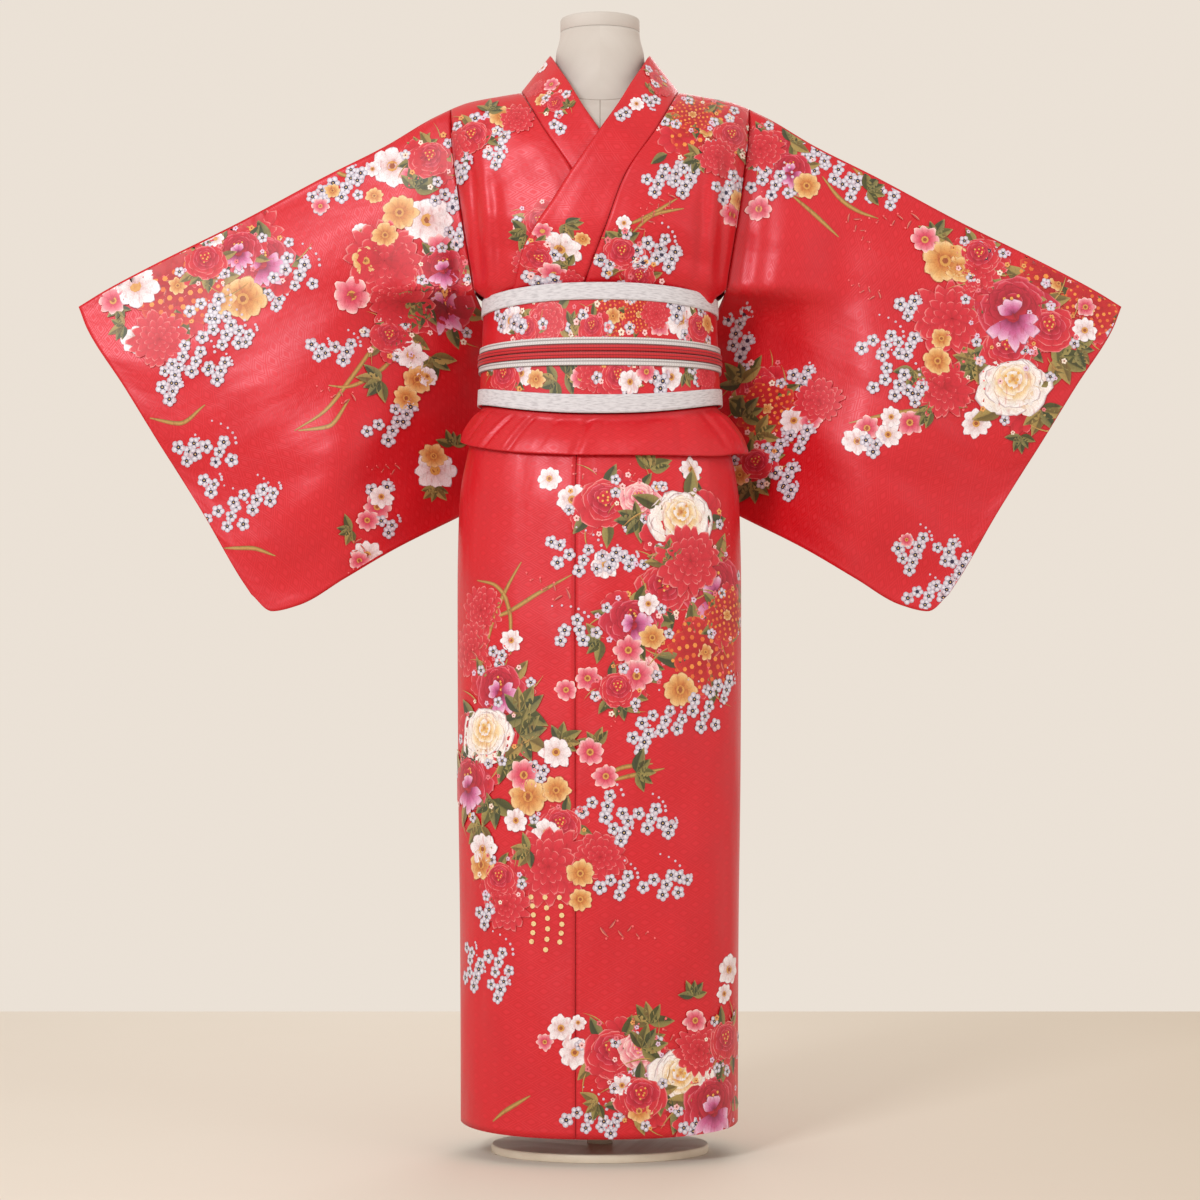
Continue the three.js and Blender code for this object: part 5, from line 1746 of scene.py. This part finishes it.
def sleeve_shares(x, z):
    """The shares along and down a sleeve at a place seen from the front, and which lay off it."""
    at = np.stack([x, z], axis=-1)
    s, t = nearest_share(SHARE_GRID, at)
    step = 1e-4
    for _ in range(8):
        px, pz = sleeve_outline(s, t)
        ds, dt = np.where(s > 0.5, -step, step), np.where(t > 0.5, -step, step)
        ax, az = (np.array(sleeve_outline(s + ds, t)) - (px, pz)) / ds
        bx, bz = (np.array(sleeve_outline(s, t + dt)) - (px, pz)) / dt
        turn = ax * bz - az * bx
        turn = np.where(np.abs(turn) < 1e-6, 1e-6, turn)
        s = np.clip(s + np.clip(((x - px) * bz - (z - pz) * bx) / turn, -0.1, 0.1), 0, 1)
        t = np.clip(t + np.clip((ax * (z - pz) - az * (x - px)) / turn, -0.1, 0.1), 0, 1)
    px, pz = sleeve_outline(s, t)
    off = np.hypot(px - x, pz - z) > 0.3
    if off.any():
        s[off], t[off] = nearest_share(EDGE_SHARES, at[off])
    return s, t, off


def sleeve_chart(side, face):
    surface = sleeve_layer(side, face)

    def read(u, v):
        s, t, off = sleeve_shares(-side * face * u, v)
        return np.clip(s, 0.003, 0.997), np.clip(t, 0.006, 0.994), off

    return Chart(surface, read, (0.002, 0.002), side * face)


def bodice_front_chart(side):
    surface = front_panel(side)

    def read(u, v):
        z = np.clip(v, 1040, ridge(u) - 1.0)
        inner = collar_seam(np.minimum(z, COLLAR_TOP)) + SEAM + 0.3
        x = np.clip(side * u, inner, bodice["seam"](z) - 0.3)
        return x, z, (z != v) | (x != side * u)

    return Chart(surface, read, (0.3, 0.3), side)


def bodice_back_chart():
    def surface(u, z):
        rise = np.clip((z - SHOULDER_LOW) / (ridge(u) - SHOULDER_LOW), 0, 1)
        level = mix(SHOULDER_LOW, SHOULDER_TOP, rise)
        level = np.where(z < SHOULDER_LOW, z, level)
        deep = section_depth(u, level, "back") * (1 - rise**3) ** (1 / 3)
        side = np.where(u < 0, 1, -1)
        for number in (1, -1):
            folds = creases(BODICE_CREASES[number], np.abs(u), z) * (z < SHOULDER_LOW)
            deep = deep + np.where(side == number, folds, 0)
        return np.stack([-u, deep, z], axis=-1)

    def read(u, v):
        z = np.clip(v, 1040, ridge(u) - 1.0)
        limit = bodice["seam"](z) - 0.3
        x = np.clip(u, -limit, limit)
        return x, z, (z != v) | (x != u)

    return Chart(surface, read, (0.3, 0.3), 1)


def collar_chart(side):
    surface = collar_band(side)
    steps = np.linspace(0, COLLAR_STEPS, 361)
    _, run = way_along(surface, steps, 0.5)

    def read(u, v):
        step = np.interp(u, run, steps)
        share = np.clip(v / COLLAR_WIDE, 0.02, 0.98)
        return step, share, (share != v / COLLAR_WIDE) | (u < 0) | (u > run[-1])

    def from_step(step, share):
        return float(np.interp(step, steps, run)), COLLAR_WIDE * share

    return Chart(surface, read, (0.01, 0.01), side), from_step


def band_chart(band):
    surface = band_surface(band)
    turn = np.linspace(-180, 360, 541)
    _, run = way_along(surface, turn, 0.5)
    tall = band.top - band.foot

    def read(u, v):
        up = np.clip(v / tall, 0.01, 0.99)
        return np.interp(u, run, turn), up, up != v / tall

    return Chart(surface, read, (0.4, 0.01), 1)


def lay(name, sheet, chart):
    """The motifs as a skin just over the cloth."""
    flat = np.vstack(sheet.points)
    colours = np.vstack(sheet.colours)
    height = np.concatenate(sheet.heights)
    a, b, outside = chart.read(flat[:, 0], flat[:, 1])
    faces = [f for f in sheet.faces if not all(outside[i] for i in f)]
    da, db = chart.steps
    along = chart.surface(a + da, b) - chart.surface(a - da, b)
    up = chart.surface(a, b + db) - chart.surface(a, b - db)
    normal = np.cross(along, up) * chart.outward
    normal /= np.maximum(1e-9, np.linalg.norm(normal, axis=1, keepdims=True))
    points = chart.surface(a, b) + normal * (PRINT_LIFT + height)[:, None]
    used = np.unique(np.concatenate([np.array(f) for f in faces]))
    number = np.full(len(points), -1)
    number[used] = np.arange(len(used))
    faces = [tuple(int(number[i]) for i in f) for f in faces]
    obj = make_object(name, points[used], faces, flat[used] * MM, PRINT)
    layer = obj.data.color_attributes.new("print", "FLOAT_COLOR", "POINT")
    rgba = np.concatenate([np.clip(colours[used], 0, 1), np.ones((len(used), 1))], axis=1)
    layer.data.foreach_set("color", rgba.astype(np.float32).ravel())
    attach(obj, "root")


BIG_FLOWERS = ("cream", "crimson", "red", "pink", "lilac", "ring")


def foliage(sheet, x, y, size):
    """Leaves, line petals and buds that look out from behind a big flower."""
    start = sheet.random.uniform(0, 6.3)
    for k in range(4):
        a = start + 1.6 * k + sheet.random.uniform(-0.4, 0.4)
        at = (x + 0.55 * size * math.cos(a), y + 0.5 * size * math.sin(a))
        aim = a + sheet.random.uniform(-0.5, 0.5)
        leaf(sheet, *at, 0.78 * size, aim, sheet.random.uniform(-0.3, 0.3))
    for k in range(2):
        a = start + 0.8 + 2.9 * k
        at = (x + 0.75 * size * math.cos(a), y + 0.7 * size * math.sin(a))
        ring_of_petals(sheet, *at, 0.5 * size, 9, ROSE_LINE, 0.12, 0.3, 0.95, a)
    sprig(sheet, x, y, 1.5 * size, start + 2.2)
    for k in range(3):
        a = start + 2.1 * k + 1.1
        far = size * sheet.random.uniform(0.92, 1.12)
        plum(sheet, x + far * math.cos(a), y + 0.85 * far * math.sin(a), 7.2, a)


FILLERS = shades(
    (250, 206, 206), (244, 232, 214), (232, 168, 92), (232, 120, 132), (226, 200, 226)
)


def floret(sheet, x, y, size, colour):
    """A tiny five-petalled filler flower."""
    for k in range(5):
        at = spot(x, y, 0.6 * size, 2 * math.pi * k / 5 + size)
        disc(sheet, at, 0.44 * size, colour, 0.5, 5)
    disc(sheet, (x, y), 0.3 * size, rgb(150, 62, 40), 0.56, 5)


def fillers(sheet, x, y, size):
    """Tiny flowers and gold stems strewn round a big flower."""
    start = sheet.random.uniform(0, 6.3)
    for k in range(7):
        a = start + 0.9 * k
        far = size * sheet.random.uniform(0.85, 1.25)
        at = (x + far * math.cos(a), y + 0.9 * far * math.sin(a))
        small = sheet.random.uniform(2.6, 4.2)
        floret(sheet, *at, small, FILLERS[int(sheet.random.integers(len(FILLERS)))])
    for k in range(3):
        a = start + 2.2 * k
        stem = spot(x, y, 0.9 * size, a)
        leaf(sheet, *stem, 0.7 * size, a + 0.5, 0.35, 0.03, rgb(206, 160, 84))


def as_placed(x, y):
    return x, y


def draw(sheet, rows, move=as_placed):
    """Every motif of a table, the big flowers with leaves and small flowers round them."""
    for kind, x, y, size, turn in rows:
        x, y = move(x, y)
        sheet.start_motif(x, y, 0.8 * size)
        if kind in BIG_FLOWERS:
            foliage(sheet, x, y, size)
            fillers(sheet, x, y, size)
        make, *told = MOTIFS[kind]
        make(sheet, x, y, size, *told, math.radians(turn))


def draw_blades(sheet, rows, move=as_placed, wide=5.5):
    for points in rows:
        blade(sheet, [move(x, y) for x, y in points], wide)


# On the collar a motif is placed by the collar's step and its share across.
COLLAR_RIGHT_ROWS = [
    ("blush", 5.6, 0.35, 13, 0), ("gold", 6.0, 0.7, 12, 30), ("red", 6.4, 0.45, 20, 0),
    ("leaves", 6.8, 0.3, 14, 200), ("plums", 7.2, 0.7, 10, 0), ("line", 5.2, 0.7, 18, 0),
    ("plums", 9.2, 0.75, 13, 0), ("plums", 9.8, 0.9, 9, 40), ("blush", 3.4, 0.5, 12, 0),
    ("leaves", 2.6, 0.5, 15, 80), ("plums", 1.4, 0.5, 14, 0), ("white", 4.4, 0.3, 11, 0),
]
COLLAR_LEFT_ROWS = [
    ("white", 6.6, 0.35, 12, 0), ("plums", 6.2, 0.6, 12, 0), ("leaves", 5.8, 0.4, 14, 150),
    ("line", 5.4, 0.6, 18, 0), ("plums", 7.2, 0.2, 9, 0), ("red", 5.0, 0.4, 16, 0),
    ("leaves", 11.6, 0.4, 18, 80), ("white", 12.6, 0.5, 23, 0), ("leaves", 13.3, 0.7, 18, 250),
    ("blush", 12.2, 0.15, 11, 0), ("red", 13.4, 0.2, 22, 0), ("blush", 14.4, 0.55, 16, 0),
    ("plums", 15.6, 0.5, 14, 0), ("line", 14.8, 0.8, 18, 0), ("gold", 11.9, 0.75, 9, 0),
    ("plums", 3.6, 0.5, 14, 0), ("blush", 2.2, 0.5, 13, 0), ("leaves", 1.2, 0.5, 15, 20),
]
# On the sash it is placed by the way round from the front middle and the height over the foot.
SASH_ROWS = [
    ("white", -116, 96, 20, 0), ("plums", -132, 100, 14, 0), ("red", -66, 92, 30, 0),
    ("line", -66, 92, 22, 0), ("leaves", -36, 88, 18, 30), ("ring", 16, 96, 24, 0),
    ("ring", 48, 98, 20, 0), ("gold", 16, 96, 10, 0), ("white", 104, 96, 24, 0),
    ("plums", 96, 108, 14, 0), ("blush", 74, 88, 14, 0), ("red", 132, 88, 24, 0),
    ("red", -92, 84, 20, 0), ("leaves", -42, 38, 30, 20), ("leaves", -52, 30, 22, 200),
    ("blush", -24, 34, 13, 0), ("white", -98, 38, 18, 0), ("gold", -78, 32, 12, 0),
    ("line", -8, 40, 24, 0), ("red", 22, 34, 24, 0), ("white", 36, 30, 15, 0),
    ("blush", 56, 40, 13, 0), ("white", 88, 34, 17, 0), ("plums", 72, 30, 12, 0),
    ("leaves", 106, 38, 18, 330), ("red", -124, 34, 26, 0), ("plums", 124, 38, 14, 0),
    ("line", 142, 34, 22, 0), ("line", 70, 100, 20, 0), ("red", -10, 84, 20, 0),
    ("plums", -104, 88, 10, 0), ("gold", 148, 96, 12, 0),
]
# On the back it is placed as seen from behind: x to the right, then the height.
BACK_ROWS = [
    ("crimson", -104, 1236, 44, 0), ("cream", -70, 1180, 40, 10), ("leaves", -110, 1190, 30, 200),
    ("leaves", -48, 1210, 26, 40), ("plums", -60, 1240, 28, 0), ("plums", -128, 1160, 24, 0),
    ("ring", -20, 1250, 40, 0), ("line", -40, 1150, 36, 0), ("blush", -92, 1140, 17, 0),
    ("white", 112, 1262, 26, 0), ("plums", 88, 1240, 26, 0), ("red", 126, 1222, 34, 0),
    ("leaves", 96, 1210, 24, 250), ("plums", 60, 1270, 18, 0), ("line", 130, 1180, 34, 0),
    ("gold", 84, 1272, 16, 0), ("plums", 104, 1116, 26, 0), ("white", 74, 1096, 20, 0),
    ("leaves", 60, 1110, 20, 160), ("sprig", 30, 1180, 50, 60), ("plums", 20, 1096, 18, 0),
    ("red", -140, 1100, 28, 0), ("plums", -110, 1086, 18, 0),
]


def print_skirt():
    """The front as placed, the same on the back, and part of it on the strip at the right side."""
    to_run = skirt_from_front()
    front, back, strip = Print(11), Print(12), Print(13)

    def in_front(x, z):
        return to_run(x), z

    def behind(x, z):
        return BACK_MIDDLE + 1.15 * x, z

    def on_strip(x, z):
        return to_run(-170) - 30 + 0.6 * x, z + 30

    draw_blades(front, SKIRT_BLADES, in_front)
    draw(front, SKIRT_FRONT, in_front)
    lay("print_skirt_front", front, skirt_chart(True, -81.6, 94.4))
    draw_blades(back, SKIRT_BLADES, behind)
    draw(back, SKIRT_FRONT, behind)
    lay("print_skirt_back", back, skirt_chart(False, 95.2, 264.8))
    draw(strip, SKIRT_FRONT[:46], on_strip)
    lay("print_skirt_right", strip, skirt_chart(False, -94.4, -82.4))


def print_sleeves():
    for side, word, front_rows, front_blades, back_rows, back_blades in (
        (1, "left", SLEEVE_LEFT, SLEEVE_LEFT_BLADES, SLEEVE_RIGHT, SLEEVE_RIGHT_BLADES),
        (-1, "right", SLEEVE_RIGHT, SLEEVE_RIGHT_BLADES, SLEEVE_LEFT, SLEEVE_LEFT_BLADES),
    ):
        front, back = Print(20 + side), Print(30 + side)
        draw_blades(front, front_blades)
        draw(front, front_rows)
        lay(f"print_sleeve_{word}_front", front, sleeve_chart(side, -1))
        draw_blades(back, back_blades)
        draw(back, back_rows)
        lay(f"print_sleeve_{word}_back", back, sleeve_chart(side, 1))


def print_bodice():
    for side, word, rows, blades in (
        (1, "left", BODICE_LEFT, BODICE_LEFT_BLADES),
        (-1, "right", BODICE_RIGHT, []),
    ):
        sheet = Print(40 + side)
        draw_blades(sheet, blades, wide=5)
        draw(sheet, rows)
        lay(f"print_bodice_{word}", sheet, bodice_front_chart(side))
    back = Print(50)
    draw(back, BACK_ROWS)
    lay("print_bodice_back", back, bodice_back_chart())
    for side, word, rows in ((1, "left", COLLAR_LEFT_ROWS), (-1, "right", COLLAR_RIGHT_ROWS)):
        chart, from_step = collar_chart(side)
        sheet = Print(60 + side)
        draw(sheet, rows, from_step)
        lay(f"print_collar_{word}", sheet, chart)


def print_sash():
    def behind(x, y):
        return x + SASH_BACK, y

    sheet = Print(70)
    draw(sheet, SASH_ROWS)
    draw(sheet, SASH_ROWS, behind)
    lay("print_sash", sheet, band_chart(SASH))


print_skirt()
print_sleeves()
print_bodice()
print_sash()


# ---- Floor and light -----------------------------------------------------------------------------
def area_light(name, at, aim, size, power):
    data = bpy.data.lights.new(name, "AREA")
    data.shape = "RECTANGLE"
    data.size, data.size_y = size
    data.energy = power
    data.color = LIGHT_COLOUR
    light = bpy.data.objects.new(name, data)
    light.location = at
    light.rotation_euler = (Vector(aim) - Vector(at)).to_track_quat("-Z", "Y").to_euler()
    bpy.context.collection.objects.link(light)


FLOOR_REACH = 1500.0
FLOOR_LEVEL = -0.2
LIGHT_COLOUR = (0.93, 0.97, 1)


def backdrop():
    """Pale and warm, with painted shade that darkens it a little towards the right."""
    paint = Paint("backdrop", 0.9)
    places = paint.tree.nodes.new("ShaderNodeTexCoord").outputs["Object"]
    split = paint.tree.nodes.new("ShaderNodeSeparateXYZ")
    paint.link(places, split.inputs[0])
    cloudy = paint.noise(3.0, 2.0, places)
    # Painted shade: a falloff of the light, darker towards the right.
    across = paint.range(split.outputs[0], -0.6, 1.6)
    shade = paint.colours(across, srgb(222, 214, 203), srgb(205, 192, 175))
    shade = paint.colours(paint.math("MULTIPLY", cloudy, 0.12), shade, srgb(204, 192, 176))
    return paint.finish(shade)


def make_studio():
    ends = (-FLOOR_REACH, FLOOR_REACH)
    corners = [(x, y, FLOOR_LEVEL) for y in ends for x in ends]
    floor = make_object("floor", corners, [(0, 1, 3, 2)], None, backdrop())
    world = bpy.data.worlds.new("studio")
    world.use_nodes = True
    background = world.node_tree.nodes["Background"]
    background.inputs["Color"].default_value = (0.83, 0.755, 0.672, 1)
    background.inputs["Strength"].default_value = 1.0
    bpy.context.scene.world = world
    area_light("key", (-1.45, -2.9, 2.25), (-0.1, 0, 0.85), (0.8, 0.8), 55)
    area_light("fill", (2.3, -2.2, 1.7), (0, 0, 0.8), (1.2, 1.6), 7)
    area_light("back", (0.6, 2.8, 2.3), (0, 0, 0.8), (1.6, 1.2), 24)
    bpy.context.scene.view_settings.view_transform = "Standard"


make_studio()
